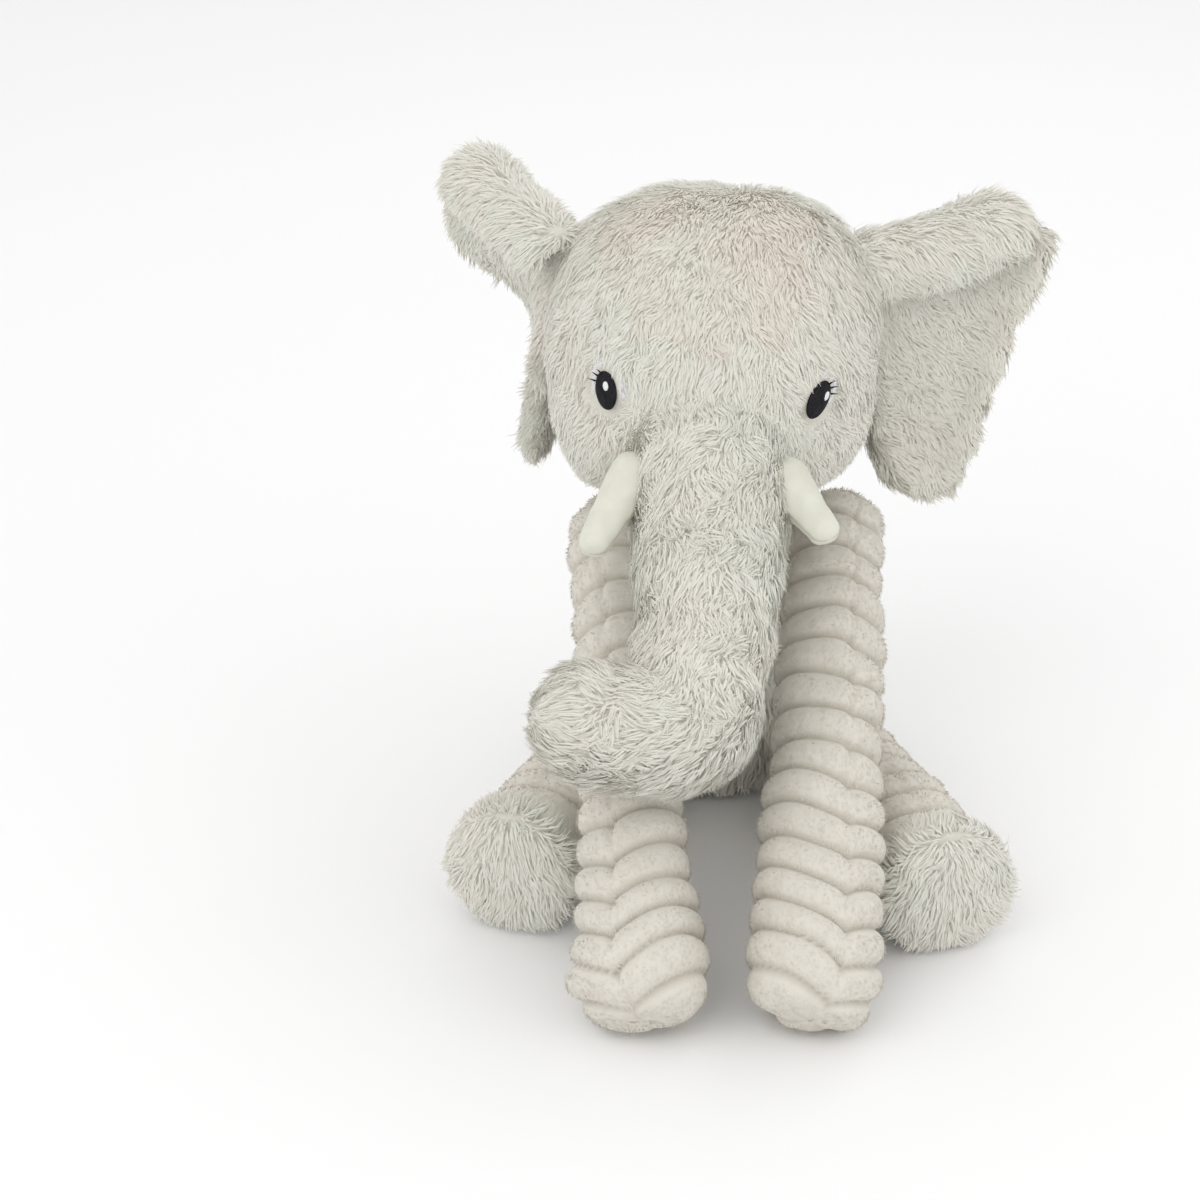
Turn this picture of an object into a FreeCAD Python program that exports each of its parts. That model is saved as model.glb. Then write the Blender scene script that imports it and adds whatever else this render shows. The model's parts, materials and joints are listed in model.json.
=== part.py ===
import FreeCAD, Part
import math
import os

# Seated stuffed elephant, built as a sewn toy: outer cloth panels, fillings inside
# them and stitched-on details.  Millimetres, +Z up, the face looks along -Y, +X is
# the toy's own left-hand side.  Origin: centre of the flat seat face under the body.

SHEET = "Sizes"

# alias, value, what it is
SIZES = [
    ("cloth", 2.5, "cover thickness, cloth and pile backing together"),
    ("slack", 0.3, "space between a cover and the filling in it"),
    ("joint_gap", 0.4, "space round each soft ball joint"),
    # body
    ("body_rx", 46, "body half width"),
    ("body_ry", 40, "body half depth"),
    ("body_rz", 74, "body half height of the full egg"),
    ("body_x", 0, "body centre"),
    ("body_y", 0, "body centre"),
    ("body_z", 56, "body centre height, so the flat seat is cut at zero"),
    ("bag_rx", 24, "pellet bag half width"),
    ("bag_rz", 15, "pellet bag half height"),
    ("bag_z", 24, "pellet bag centre height"),
    # neck and head
    ("neck_x", 0, "neck ball centre"),
    ("neck_y", -14, "neck ball centre"),
    ("neck_z", 127, "neck ball centre"),
    ("neck_rad", 24, "neck ball radius"),
    ("head_x", -7, "head centre"),
    ("head_y", -30, "head centre"),
    ("head_z", 189.5, "head centre"),
    ("head_rx", 62, "head half width"),
    ("head_ry", 58, "head half depth"),
    ("head_rz", 56, "head half height"),
    ("gusset_half", 27, "half width of the centre panel over the head"),
    # eyes
    ("eye_w", 5.2, "pupil half width"),
    ("eye_tall", 7.2, "pupil half height"),
    ("eye_proud", 1.5, "how far the embroidery stands off the face"),
    ("halo_w", 9.5, "pale patch half width"),
    ("halo_tall", 10.5, "pale patch half height"),
    ("halo_proud", 0.8, "how far the pale patch stands off the face"),
    ("halo_up", 2.5, "pale patch centre over the pupil's"),
    ("glint_w", 1.6, "white highlight half width"),
    ("glint_tall", 2.3, "white highlight half height"),
    ("glint_proud", 0.6, "white highlight half thickness"),
    ("glint_side", 1.2, "highlight centre beside the pupil's"),
    ("glint_up", 2.2, "highlight centre over the pupil's"),
    ("glint_out", 1.3, "highlight centre off the face"),
    ("lash_rad", 0.45, "lash thread radius"),
    ("lash_long", 3.8, "lash length"),
    ("lash_gap", 0.8, "lash root outside the pupil's rim"),
    ("lash_out", 1.2, "lash root off the face"),
    ("lash_rise", 0.1, "slope of a lash away from the face"),
    # trunk, from the root in the face to the curled tip
    ("root_x", -8, "trunk root inside the face"),
    ("root_y", -56, "trunk root inside the face"),
    ("root_z", 172, "trunk root inside the face"),
    ("lift_x", -8, "upper trunk joint"),
    ("lift_y", -92, "upper trunk joint"),
    ("lift_z", 146, "upper trunk joint"),
    ("sway_x", -10, "lower trunk joint"),
    ("sway_y", -124, "lower trunk joint"),
    ("sway_z", 121, "lower trunk joint"),
    ("bend_x", -16, "trunk bend"),
    ("bend_y", -153, "trunk bend"),
    ("bend_z", 99.5, "trunk bend"),
    ("tip_x", -49, "centre of the rounded trunk tip"),
    ("tip_y", -159, "centre of the rounded trunk tip"),
    ("tip_z", 104, "centre of the rounded trunk tip"),
    ("collar_rad", 33, "trunk radius in the face"),
    ("collar_end_rad", 28, "trunk radius at the first joint's rim"),
    ("collar_back", 12, "rim of the collar, back from the first joint"),
    ("lift_rad", 25, "trunk radius at the first joint"),
    ("sway_rad", 23, "trunk radius at the second joint"),
    ("sway_start", 8, "rim of the lower trunk, past the second joint"),
    ("bend_rad", 21.5, "trunk radius at the bend"),
    ("tip_rad", 20, "trunk tip radius"),
    # tusks: the toy's right tusk is on -X
    ("tusk_rad", 7.2, "tusk root radius"),
    ("tusk_end_rad", 4.5, "tusk tip radius"),
    ("tusk_cloth", 1.2, "tusk cloth thickness"),
    ("tuskR_x", -34.5, "right tusk root"),
    ("tuskR_y", -86, "right tusk root"),
    ("tuskR_z", 161, "right tusk root"),
    ("tuskRend_x", -48, "right tusk tip"),
    ("tuskRend_y", -108, "right tusk tip"),
    ("tuskRend_z", 145, "right tusk tip"),
    ("tuskL_x", 16.5, "left tusk root"),
    ("tuskL_y", -86, "left tusk root"),
    ("tuskL_z", 160, "left tusk root"),
    ("tuskLend_x", 30.5, "left tusk tip"),
    ("tuskLend_y", -108, "left tusk tip"),
    ("tuskLend_z", 149.5, "left tusk tip"),
    # ears: outline points are (out from the root, height over the root's middle)
    ("ear_off", 3.5, "ear root axis outside the side of the head"),
    ("ear_y", -22, "ear root axis"),
    ("ear_z", 188, "middle of the ear root"),
    ("ear_thick", 12, "ear thickness"),
    ("ear_root_rad", 7, "rolled root seam radius"),
    ("ear_root_low", -28, "lower end of the root seam"),
    ("ear_root_tall", 60, "length of the root seam"),
    ("ear_fold_rad", 12, "folded top edge radius"),
    ("ear_fold_u", 47, "folded edge, reach from the root"),
    ("ear_fold_low", 26, "folded edge, height at the root"),
    ("ear_fold_high", 42, "folded edge, height at the tip"),
    ("ear_groove_rad", 7.4, "groove in the head for the root seam"),
    ("ear_groove_low", -65, "lower end of the groove"),
    ("ear_groove_tall", 130, "length of the groove"),
    ("ear_core", 0.55, "size of the wadding against the ear's outline"),
    ("ear_core_u", 24, "middle of the wadding, out from the root"),
    ("ear_core_v", -3, "middle of the wadding, height"),
    ("ear_core_thick", 6, "pocket for the wadding"),
    ("ear_sweepL", 8, "left ear, degrees swept back at rest"),
    ("ear_sweepR", 60, "right ear, degrees swept back at rest"),
    ("ear_perkL", 0, "left ear, extra height of the folded edge at its tip"),
    ("ear_perkR", 10, "right ear, extra height of the folded edge at its tip"),
    ("ear_fold_in", 2, "folded edge, start out from the root axis"),
    ("ear_fold_trim", 3, "folded edge trimmed this far out from the root axis"),
    ("ear_core_play", 0.01, "share by which the wadding is smaller than its pocket"),
    # arms: shoulder ball and rounded paw end
    ("armR_x", -40, "right shoulder"),
    ("armR_y", -28, "right shoulder"),
    ("armR_z", 112, "right shoulder"),
    ("pawR_x", -33, "right arm end"),
    ("pawR_y", -180, "right arm end"),
    ("pawR_z", 23, "right arm end"),
    ("armL_x", 42, "left shoulder"),
    ("armL_y", -28, "left shoulder"),
    ("armL_z", 113, "left shoulder"),
    ("pawL_x", 26, "left arm end"),
    ("pawL_y", -180, "left arm end"),
    ("pawL_z", 23, "left arm end"),
    ("arm_rad", 17.5, "arm radius at the shoulder"),
    ("paw_rad", 23, "arm radius at its end"),
    # legs: hip ball and foot
    ("legR_x", -42, "right hip"),
    ("legR_y", -32, "right hip"),
    ("legR_z", 24, "right hip"),
    ("footR_x", -80, "right foot end"),
    ("footR_y", -126, "right foot end"),
    ("footR_z", 24, "right foot end"),
    ("legL_x", 42, "left hip"),
    ("legL_y", -32, "left hip"),
    ("legL_z", 24, "left hip"),
    ("footL_x", 78, "left foot end"),
    ("footL_y", -140, "left foot end"),
    ("footL_z", 24, "left foot end"),
    ("leg_rad", 21, "leg radius at the hip"),
    ("foot_rad", 24, "leg radius at the foot"),
    ("sole_thick", 5, "furry sole thickness"),
    ("sole_round", 3, "rounding of the sole's rim"),
    # tail
    ("tail_x", 0, "tail root"),
    ("tail_y", 41, "tail root"),
    ("tail_z", 29, "tail root"),
    ("tailend_x", 0, "tail end inside the tuft"),
    ("tailend_y", 72, "tail end inside the tuft"),
    ("tailend_z", 10.5, "tail end inside the tuft"),
    ("tail_rad", 7, "tail radius at the root"),
    ("tail_end_rad", 5.5, "tail radius in the tuft"),
    ("tuft_rad", 9, "tuft radius"),
    ("tuft_long", 13, "tuft half length"),
    ("tuft_y", 78, "tuft centre"),
    ("tuft_z", 9, "tuft centre"),
]

# Ear outline round the plate: (out from the root, height over the root's middle)
EAR_OUTLINE = [
    (0, 29),
    (48, 47),
    (57, 39),
    (46, 0),
    (31, -40),
    (24, -53),
    (14, -58),
    (5, -53),
    (0, -43),
]

# Eye centres on the face, sideways and up from the head's centre, and their tilt.
EYES = {
    "right": (-38.6, -4.0, 4.0),
    "left": (36.3, -6.5, -24.0),
}

SIDE_SIGN = {"right": -1, "left": 1}
SIDE_MARK = {"right": "R", "left": "L"}
LASH_TILTS = (18, 38, 58)
BIG = 300
FRONT_HALF = (2 * BIG, BIG, 2 * BIG)
LEFT_HALF = (BIG, 2 * BIG, 2 * BIG)

doc = FreeCAD.newDocument("stuffed_elephant")
sheet = doc.addObject("Spreadsheet::Sheet", SHEET)
value = {}
for row, (alias, number, meaning) in enumerate(SIZES, start=1):
    sheet.set(f"A{row}", meaning)
    sheet.set(f"B{row}", str(number))
    sheet.setAlias(f"B{row}", alias)
    value[alias] = float(number)
doc.recompute()

nodes = []


def cell(name):
    """Expression text for one cell of the sheet."""
    return f"{SHEET}.{name}"


def bind(thing, **formulas):
    """Bind properties of a document object to expressions."""
    for name, formula in formulas.items():
        thing.setExpression(name, formula)
    return thing


def point(spot):
    """A named point of the sheet as a vector."""
    return FreeCAD.Vector(*(value[f"{spot}_{axis}"] for axis in "xyz"))


def put(thing, spot, rotation=None):
    """Place an object at a named point, its coordinates bound to the sheet."""
    if rotation:
        thing.Placement = FreeCAD.Placement(FreeCAD.Vector(), rotation)
    for axis in "xyz":
        thing.setExpression(f"Placement.Base.{axis}", cell(f"{spot}_{axis}"))
    return thing


def along(start, end):
    """Rotation with its Z from one named point to another and its X level."""
    z_dir = (point(end) - point(start)).normalize()
    x_dir = z_dir.cross(FreeCAD.Vector(0, 0, 1)).normalize()
    return FreeCAD.Rotation(x_dir, z_dir.cross(x_dir), z_dir, "ZXY")


def ball(label, spot, radius):
    """Sphere at a named point."""
    thing = doc.addObject("Part::Sphere", label)
    return put(bind(thing, Radius=radius), spot)


def egg(label, spot, half_x, half_y, half_z, rotation=None):
    """Ellipsoid at a named point."""
    thing = doc.addObject("Part::Ellipsoid", label)
    bind(thing, Radius1=half_z, Radius2=half_x, Radius3=half_y)
    return put(thing, spot, rotation)


def span(start, end):
    """Expression for the distance between two named points."""
    squares = (f"({cell(start)}_{a} - {cell(end)}_{a})^2" for a in "xyz")
    return f"sqrt({' + '.join(squares)})"


def cone(label, start, end, start_radius, end_radius):
    """Cone from one named point to another."""
    thing = doc.addObject("Part::Cone", label)
    bind(thing, Radius1=start_radius, Radius2=end_radius, Height=span(start, end))
    return put(thing, start, along(start, end))


def disc(label, spot, rotation, radius, height):
    """Cylinder standing at a named point along the rotation's Z."""
    thing = doc.addObject("Part::Cylinder", label)
    bind(thing, Radius=radius, Height=height)
    return put(thing, spot, rotation)


def block(label, rotation, base, sizes):
    """Box from a corner, used to split a piece at a seam."""
    thing = doc.addObject("Part::Box", label)
    thing.Length, thing.Width, thing.Height = sizes
    thing.Placement = FreeCAD.Placement(base, rotation)
    return thing


def cut(label, base, *tools):
    """Base with every tool taken away, one after another."""
    for number, tool in enumerate(tools):
        last = number == len(tools) - 1
        thing = doc.addObject("Part::Cut", label if last else f"{label}_cut{number}")
        thing.Base = base
        thing.Tool = tool
        base = thing
    return base


def fuse(label, *pieces):
    """All the pieces joined."""
    thing = doc.addObject("Part::MultiFuse", label)
    thing.Shapes = list(pieces)
    thing.Refine = False
    return thing


def common(label, *pieces):
    """What the pieces share."""
    thing = doc.addObject("Part::MultiCommon", label)
    thing.Shapes = list(pieces)
    return thing


def node(thing, label):
    """Register a finished sub-part under its node name."""
    thing.Label = label
    nodes.append(thing)
    return thing


def limb(label, start, end, start_radius, end_radius):
    """Tapered limb with a ball at each end."""
    return fuse(
        label,
        ball(f"{label}_start", start, start_radius),
        cone(f"{label}_taper", start, end, start_radius, end_radius),
        ball(f"{label}_end", end, end_radius),
    )


def less(size, *offsets):
    """Expression for a size made smaller by the named offsets."""
    return " - ".join([cell(size)] + [cell(name) for name in offsets])


def more(size, *offsets):
    """Expression for a size made larger by the named offsets."""
    return " + ".join([cell(size)] + [cell(name) for name in offsets])


def build_body():
    """Body cover in a front and a back panel, filling, and the pellet bag in it."""
    corner = FreeCAD.Vector(-BIG, -BIG, -BIG)
    floor = block("seat_cut", FreeCAD.Rotation(), corner, (2 * BIG, 2 * BIG, BIG))
    inner_floor = block(
        "seat_cloth_cut",
        FreeCAD.Rotation(),
        FreeCAD.Vector(-BIG, -BIG, -BIG),
        (2 * BIG, 2 * BIG, BIG),
    )
    bind(inner_floor, Height=f"{BIG} + {cell('cloth')}")
    fill_floor = block(
        "seat_fill_cut",
        FreeCAD.Rotation(),
        FreeCAD.Vector(-BIG, -BIG, -BIG),
        (2 * BIG, 2 * BIG, BIG),
    )
    bind(fill_floor, Height=f"{BIG} + {cell('cloth')} + {cell('slack')}")

    sockets = [
        ("neck", "neck_rad"),
        ("armR", "arm_rad"),
        ("armL", "arm_rad"),
        ("legR", "leg_rad"),
        ("legL", "leg_rad"),
        ("tail", "tail_rad"),
    ]
    hollows = [ball(f"{spot}_socket", spot, more(size, "joint_gap")) for spot, size in sockets]
    walls = [ball(f"{spot}_wall", spot, more(size, "joint_gap", "cloth")) for spot, size in sockets]
    fill_walls = [
        ball(f"{spot}_fillwall", spot, more(size, "joint_gap", "cloth", "slack")) for spot, size in sockets
    ]

    outer = egg("body_outer", "body", cell("body_rx"), cell("body_ry"), cell("body_rz"))
    inner = egg(
        "body_inner", "body", less("body_rx", "cloth"), less("body_ry", "cloth"), less("body_rz", "cloth")
    )
    core = egg(
        "body_core",
        "body",
        less("body_rx", "cloth", "slack"),
        less("body_ry", "cloth", "slack"),
        less("body_rz", "cloth", "slack"),
    )
    form = cut("body_form", outer, floor, *hollows)
    room = cut("body_room", inner, inner_floor, *walls)
    skin = cut("body_skin", form, room)
    front_half = block("body_front_half", FreeCAD.Rotation(), corner, FRONT_HALF)
    node(common("body_front_panel", skin, front_half), "body_front_panel")
    node(cut("body_back_panel", skin, front_half), "body_back_panel")
    bag = doc.addObject("Part::Ellipsoid", "pellet_bag")
    bind(bag, Radius1=cell("bag_rz"), Radius2=cell("bag_rx"), Radius3=cell("bag_rx"))
    bag.setExpression("Placement.Base.z", cell("bag_z"))
    node(bag, "pellet_bag")
    pocket = doc.addObject("Part::Ellipsoid", "pellet_pocket")
    bind(
        pocket,
        Radius1=more("bag_rz", "slack"),
        Radius2=more("bag_rx", "slack"),
        Radius3=more("bag_rx", "slack"),
    )
    pocket.setExpression("Placement.Base.z", cell("bag_z"))
    node(cut("body_filling", core, fill_floor, *fill_walls, pocket), "body_filling")


def build_neck():
    """Soft ball between body and head: a sewn cover round its filling."""
    outer = ball("neck_outer", "neck", cell("neck_rad"))
    node(cut("neck_cover", outer, ball("neck_room", "neck", less("neck_rad", "cloth"))), "neck_cover")
    node(ball("neck_filling", "neck", less("neck_rad", "cloth", "slack")), "neck_filling")


def ear_frame(side):
    """Point on an ear's root axis at its middle height, and the ear's swept rotation."""
    sign = SIDE_SIGN[side]
    sweep = value[f"ear_sweep{SIDE_MARK[side]}"] * sign
    across = value["head_x"] + sign * (value["head_rx"] + value["ear_off"])
    axis = FreeCAD.Vector(across, value["ear_y"], value["ear_z"])
    return axis, FreeCAD.Rotation(FreeCAD.Vector(0, 0, 1), sweep)


def ear_perk(side, out, up):
    """Extra height of an ear's edge, none at the root and below the root's middle, full at the tip."""
    share = max(up, 0) / value["ear_fold_high"] * out / value["ear_fold_u"]
    return value[f"ear_perk{SIDE_MARK[side]}"] * share


def ear_axis_x(side):
    """Expression for the x of an ear's root axis."""
    sign = "+" if SIDE_SIGN[side] > 0 else "-"
    return f"{cell('head_x')} {sign} ({cell('head_rx')} + {cell('ear_off')})"


def upright(label, side, radius, low, tall):
    """Upright cylinder on an ear's root axis."""
    thing = doc.addObject("Part::Cylinder", label)
    bind(thing, Radius=radius, Height=tall)
    thing.setExpression("Placement.Base.x", ear_axis_x(side))
    thing.setExpression("Placement.Base.y", cell("ear_y"))
    thing.setExpression("Placement.Base.z", f"{cell('ear_z')} + {low}")
    return thing


def build_head():
    """Three head panels over one filling, with a hollow for the neck and ear grooves."""
    outer = egg("head_outer", "head", cell("head_rx"), cell("head_ry"), cell("head_rz"))
    inner = egg(
        "head_inner", "head", less("head_rx", "cloth"), less("head_ry", "cloth"), less("head_rz", "cloth")
    )
    core = egg(
        "head_core",
        "head",
        less("head_rx", "cloth", "slack"),
        less("head_ry", "cloth", "slack"),
        less("head_rz", "cloth", "slack"),
    )
    hollow = ball("head_socket", "neck", more("neck_rad", "joint_gap"))
    wall = ball("head_wall", "neck", more("neck_rad", "joint_gap", "cloth"))
    fill_wall = ball("head_fillwall", "neck", more("neck_rad", "joint_gap", "cloth", "slack"))
    low, tall = cell("ear_groove_low"), cell("ear_groove_tall")
    grooves = [upright(f"ear_groove_{s}", s, cell("ear_groove_rad"), low, tall) for s in SIDE_SIGN]
    walls = [upright(f"ear_wall_{s}", s, more("ear_groove_rad", "cloth"), low, tall) for s in SIDE_SIGN]
    fill_walls = [
        upright(f"ear_fillwall_{s}", s, more("ear_groove_rad", "cloth", "slack"), low, tall)
        for s in SIDE_SIGN
    ]
    trunk_hollow = ball("face_socket", "lift", more("lift_rad", "joint_gap"))
    trunk_wall = ball("face_socket_wall", "lift", more("lift_rad", "joint_gap", "cloth"))
    trunk_fill_wall = ball("face_socket_fillwall", "lift", more("lift_rad", "joint_gap", "cloth", "slack"))
    skin = cut(
        "head_skin",
        cut("head_form", outer, hollow, trunk_hollow, *grooves),
        cut("head_room", inner, wall, trunk_wall, *walls),
    )
    middle = block("gusset_slab", FreeCAD.Rotation(), FreeCAD.Vector(0, -BIG, 0), (1, 2 * BIG, 2 * BIG))
    bind(middle, Length=f"2 * {cell('gusset_half')}")
    middle.setExpression("Placement.Base.x", f"{cell('head_x')} - {cell('gusset_half')}")
    node(common("head_gusset", skin, middle), "head_gusset")
    sides = cut("head_sides", skin, middle)
    left_side = block("left_half", FreeCAD.Rotation(), FreeCAD.Vector(0, -BIG, -BIG), LEFT_HALF)
    node(common("head_side_left", sides, left_side), "head_side_left")
    node(cut("head_side_right", sides, left_side), "head_side_right")
    node(cut("head_filling", core, fill_wall, trunk_fill_wall, *fill_walls), "head_filling")


def face_frame(across, up):
    """Point and outward normal of the face at a place seen from the front."""
    half = [value[f"head_r{axis}"] for axis in "xyz"]
    depth = math.sqrt(1 - (across / half[0]) ** 2 - (up / half[2]) ** 2)
    offset = FreeCAD.Vector(across, -half[1] * depth, up)
    normal = FreeCAD.Vector(offset.x / half[0] ** 2, offset.y / half[1] ** 2, offset.z / half[2] ** 2)
    return point("head") + offset, normal.normalize()


def lens(label, centre, rotation, half_wide, half_tall, proud):
    """Flat lens: local X across, local Y up, local Z off the face."""
    thing = doc.addObject("Part::Ellipsoid", label)
    bind(thing, Radius1=proud, Radius2=half_wide, Radius3=half_tall)
    thing.Placement = FreeCAD.Placement(centre, rotation)
    return thing


def build_eye(side):
    """Embroidered eye: pale patch, pupil, highlight and lashes, laid on the face."""
    across, up, tilt = EYES[side]
    centre, normal = face_frame(across, up)
    level = FreeCAD.Vector(0, 0, 1).cross(normal).normalize()
    flat = FreeCAD.Rotation(level, normal.cross(level), normal, "ZXY")
    turned = flat.multiply(FreeCAD.Rotation(FreeCAD.Vector(0, 0, 1), tilt))
    face = doc.getObject("head_outer")

    sizes = [cell("eye_w"), cell("eye_tall"), cell("eye_proud")]
    pupil_form = lens(f"pupil_form_{side}", centre, turned, *sizes)
    node(cut(f"eye_pupil_{side}", pupil_form, face), f"eye_pupil_{side}")

    sizes = [cell("halo_w"), cell("halo_tall"), cell("halo_proud")]
    halo_at = centre + turned.multVec(FreeCAD.Vector(0, value["halo_up"], 0))
    halo_form = lens(f"halo_form_{side}", halo_at, turned, *sizes)
    node(cut(f"eye_patch_{side}", halo_form, face, pupil_form), f"eye_patch_{side}")

    sizes = [cell("glint_w"), cell("glint_tall"), cell("glint_proud")]
    glint_place = FreeCAD.Vector(value["glint_side"], value["glint_up"], value["glint_out"])
    glint_form = lens(f"glint_form_{side}", centre + turned.multVec(glint_place), turned, *sizes)
    node(cut(f"eye_highlight_{side}", glint_form, pupil_form), f"eye_highlight_{side}")

    lashes = []
    outward = SIDE_SIGN[side]
    for number, lean in enumerate(LASH_TILTS):
        angle = math.radians(lean)
        edge = FreeCAD.Vector(
            outward * math.sin(angle) * (value["eye_w"] + value["lash_gap"]),
            math.cos(angle) * (value["eye_tall"] + value["lash_gap"]),
            value["lash_out"],
        )
        lash = doc.addObject("Part::Cylinder", f"lash_{side}_{number}")
        bind(lash, Radius=cell("lash_rad"), Height=cell("lash_long"))
        lean_out = FreeCAD.Vector(outward * math.sin(angle), math.cos(angle), value["lash_rise"])
        heading = FreeCAD.Rotation(FreeCAD.Vector(0, 0, 1), turned.multVec(lean_out))
        lash.Placement = FreeCAD.Placement(centre + turned.multVec(edge), heading)
        lashes.append(lash)
    group = doc.addObject("Part::Compound", f"eye_lashes_{side}")
    group.Links = lashes
    node(group, f"eye_lashes_{side}")


def build_trunk():
    """Solid rolled collar in the face, then a middle and a curled lower length over fillings."""
    face = doc.getObject("head_outer")
    back = along("lift", "root")

    collar = cone("collar_taper", "root", "lift", cell("collar_rad"), cell("collar_end_rad"))
    rim = disc("collar_rim", "lift", back, str(BIG), cell("collar_back"))
    socket = ball("collar_socket", "lift", more("lift_rad", "joint_gap"))
    node(cut("trunk_collar", collar, face, rim, socket), "trunk_collar")

    middle = limb("middle_form", "lift", "sway", cell("lift_rad"), cell("sway_rad"))
    middle_room = limb("middle_room", "lift", "sway", less("lift_rad", "cloth"), less("sway_rad", "cloth"))
    middle_core = limb(
        "trunk_middle_filling",
        "lift",
        "sway",
        less("lift_rad", "cloth", "slack"),
        less("sway_rad", "cloth", "slack"),
    )
    node(cut("trunk_middle_cover", middle, middle_room), "trunk_middle_cover")
    node(middle_core, "trunk_middle_filling")

    def elbow(label, *offsets):
        """Lower trunk from the second joint round the bend to the tip."""
        return fuse(
            label,
            cone(f"{label}_drop", "sway", "bend", less("sway_rad", *offsets), less("bend_rad", *offsets)),
            ball(f"{label}_bend", "bend", less("bend_rad", *offsets)),
            cone(f"{label}_curl", "bend", "tip", less("bend_rad", *offsets), less("tip_rad", *offsets)),
            ball(f"{label}_tip", "tip", less("tip_rad", *offsets)),
        )

    ahead = along("sway", "bend")
    rims = [
        disc(f"lower_rim{n}", "sway", ahead, str(BIG), more("sway_start", *extra))
        for n, extra in enumerate([(), ("cloth",), ("cloth", "slack")])
    ]
    balls = [
        ball(f"lower_socket{n}", "sway", more("sway_rad", "joint_gap", *extra))
        for n, extra in enumerate([(), ("cloth",), ("cloth", "slack")])
    ]
    outer = cut("lower_form", elbow("lower_outer"), rims[0], balls[0])
    room = cut("lower_room", elbow("lower_inner", "cloth"), rims[1], balls[1])
    node(cut("trunk_lower_cover", outer, room), "trunk_lower_cover")
    core = elbow("lower_core", "cloth", "slack")
    node(cut("trunk_lower_filling", core, rims[2], balls[2]), "trunk_lower_filling")


def build_tusk(side):
    """Smooth sewn tusk with its filling, set against the collar and the cheek."""
    mark = SIDE_MARK[side]
    root, end = f"tusk{mark}", f"tusk{mark}end"
    collar = doc.getObject("collar_taper")
    face = doc.getObject("head_outer")
    form = limb(f"tusk_form_{mark}", root, end, cell("tusk_rad"), cell("tusk_end_rad"))
    outer = cut(f"tusk_outer_{mark}", form, face, collar)
    room = limb(
        f"tusk_room_{mark}",
        root,
        end,
        less("tusk_rad", "tusk_cloth"),
        less("tusk_end_rad", "tusk_cloth"),
    )
    stop = cone(
        f"tusk_stop_{mark}",
        "root",
        "lift",
        more("collar_rad", "tusk_cloth"),
        more("collar_end_rad", "tusk_cloth"),
    )
    face_stop = egg(
        f"tusk_face_stop_{mark}",
        "head",
        more("head_rx", "tusk_cloth"),
        more("head_ry", "tusk_cloth"),
        more("head_rz", "tusk_cloth"),
    )
    inner = cut(f"tusk_inner_{mark}", room, face_stop, stop)
    node(cut(f"tusk_cover_{side}", outer, inner), f"tusk_cover_{side}")
    core = limb(
        f"tusk_core_{mark}",
        root,
        end,
        less("tusk_rad", "tusk_cloth", "slack"),
        less("tusk_end_rad", "tusk_cloth", "slack"),
    )
    core_stop = cone(
        f"tusk_core_stop_{mark}",
        "root",
        "lift",
        more("collar_rad", "tusk_cloth", "slack"),
        more("collar_end_rad", "tusk_cloth", "slack"),
    )
    core_face = egg(
        f"tusk_core_face_{mark}",
        "head",
        more("head_rx", "tusk_cloth", "slack"),
        more("head_ry", "tusk_cloth", "slack"),
        more("head_rz", "tusk_cloth", "slack"),
    )
    node(cut(f"tusk_filling_{side}", core, core_face, core_stop), f"tusk_filling_{side}")


def ear_plate(label, side, scale, thick):
    """Padded outline of an ear, made as a sketch and a pad, swept back about its root."""
    body = doc.addObject("PartDesign::Body", label)
    sketch = body.newObject("Sketcher::SketchObject", f"{label}_outline")
    plane = next(f for f in body.Origin.OriginFeatures if f.Role == "XZ_Plane")
    sketch.AttachmentSupport = [(plane, "")]
    sketch.MapMode = "FlatFace"
    sign = SIDE_SIGN[side]
    middle_u, middle_v = value["ear_core_u"], value["ear_core_v"]
    raised = [(u, v + ear_perk(side, u, v)) for u, v in EAR_OUTLINE]
    corners = [
        (sign * (middle_u + scale * (u - middle_u)), middle_v + scale * (v - middle_v))
        for u, v in raised
    ]
    for start, end in zip(corners, corners[1:] + corners[:1]):
        sketch.addGeometry(Part.LineSegment(FreeCAD.Vector(*start, 0), FreeCAD.Vector(*end, 0)))
    pad = body.newObject("PartDesign::Pad", f"{label}_pad")
    pad.Profile = sketch
    pad.Midplane = True
    pad.setExpression("Length", thick)
    axis, turn = ear_frame(side)
    body.Placement = FreeCAD.Placement(axis, turn)
    body.setExpression("Placement.Base.x", ear_axis_x(side))
    body.setExpression("Placement.Base.y", cell("ear_y"))
    body.setExpression("Placement.Base.z", cell("ear_z"))
    return body


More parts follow.
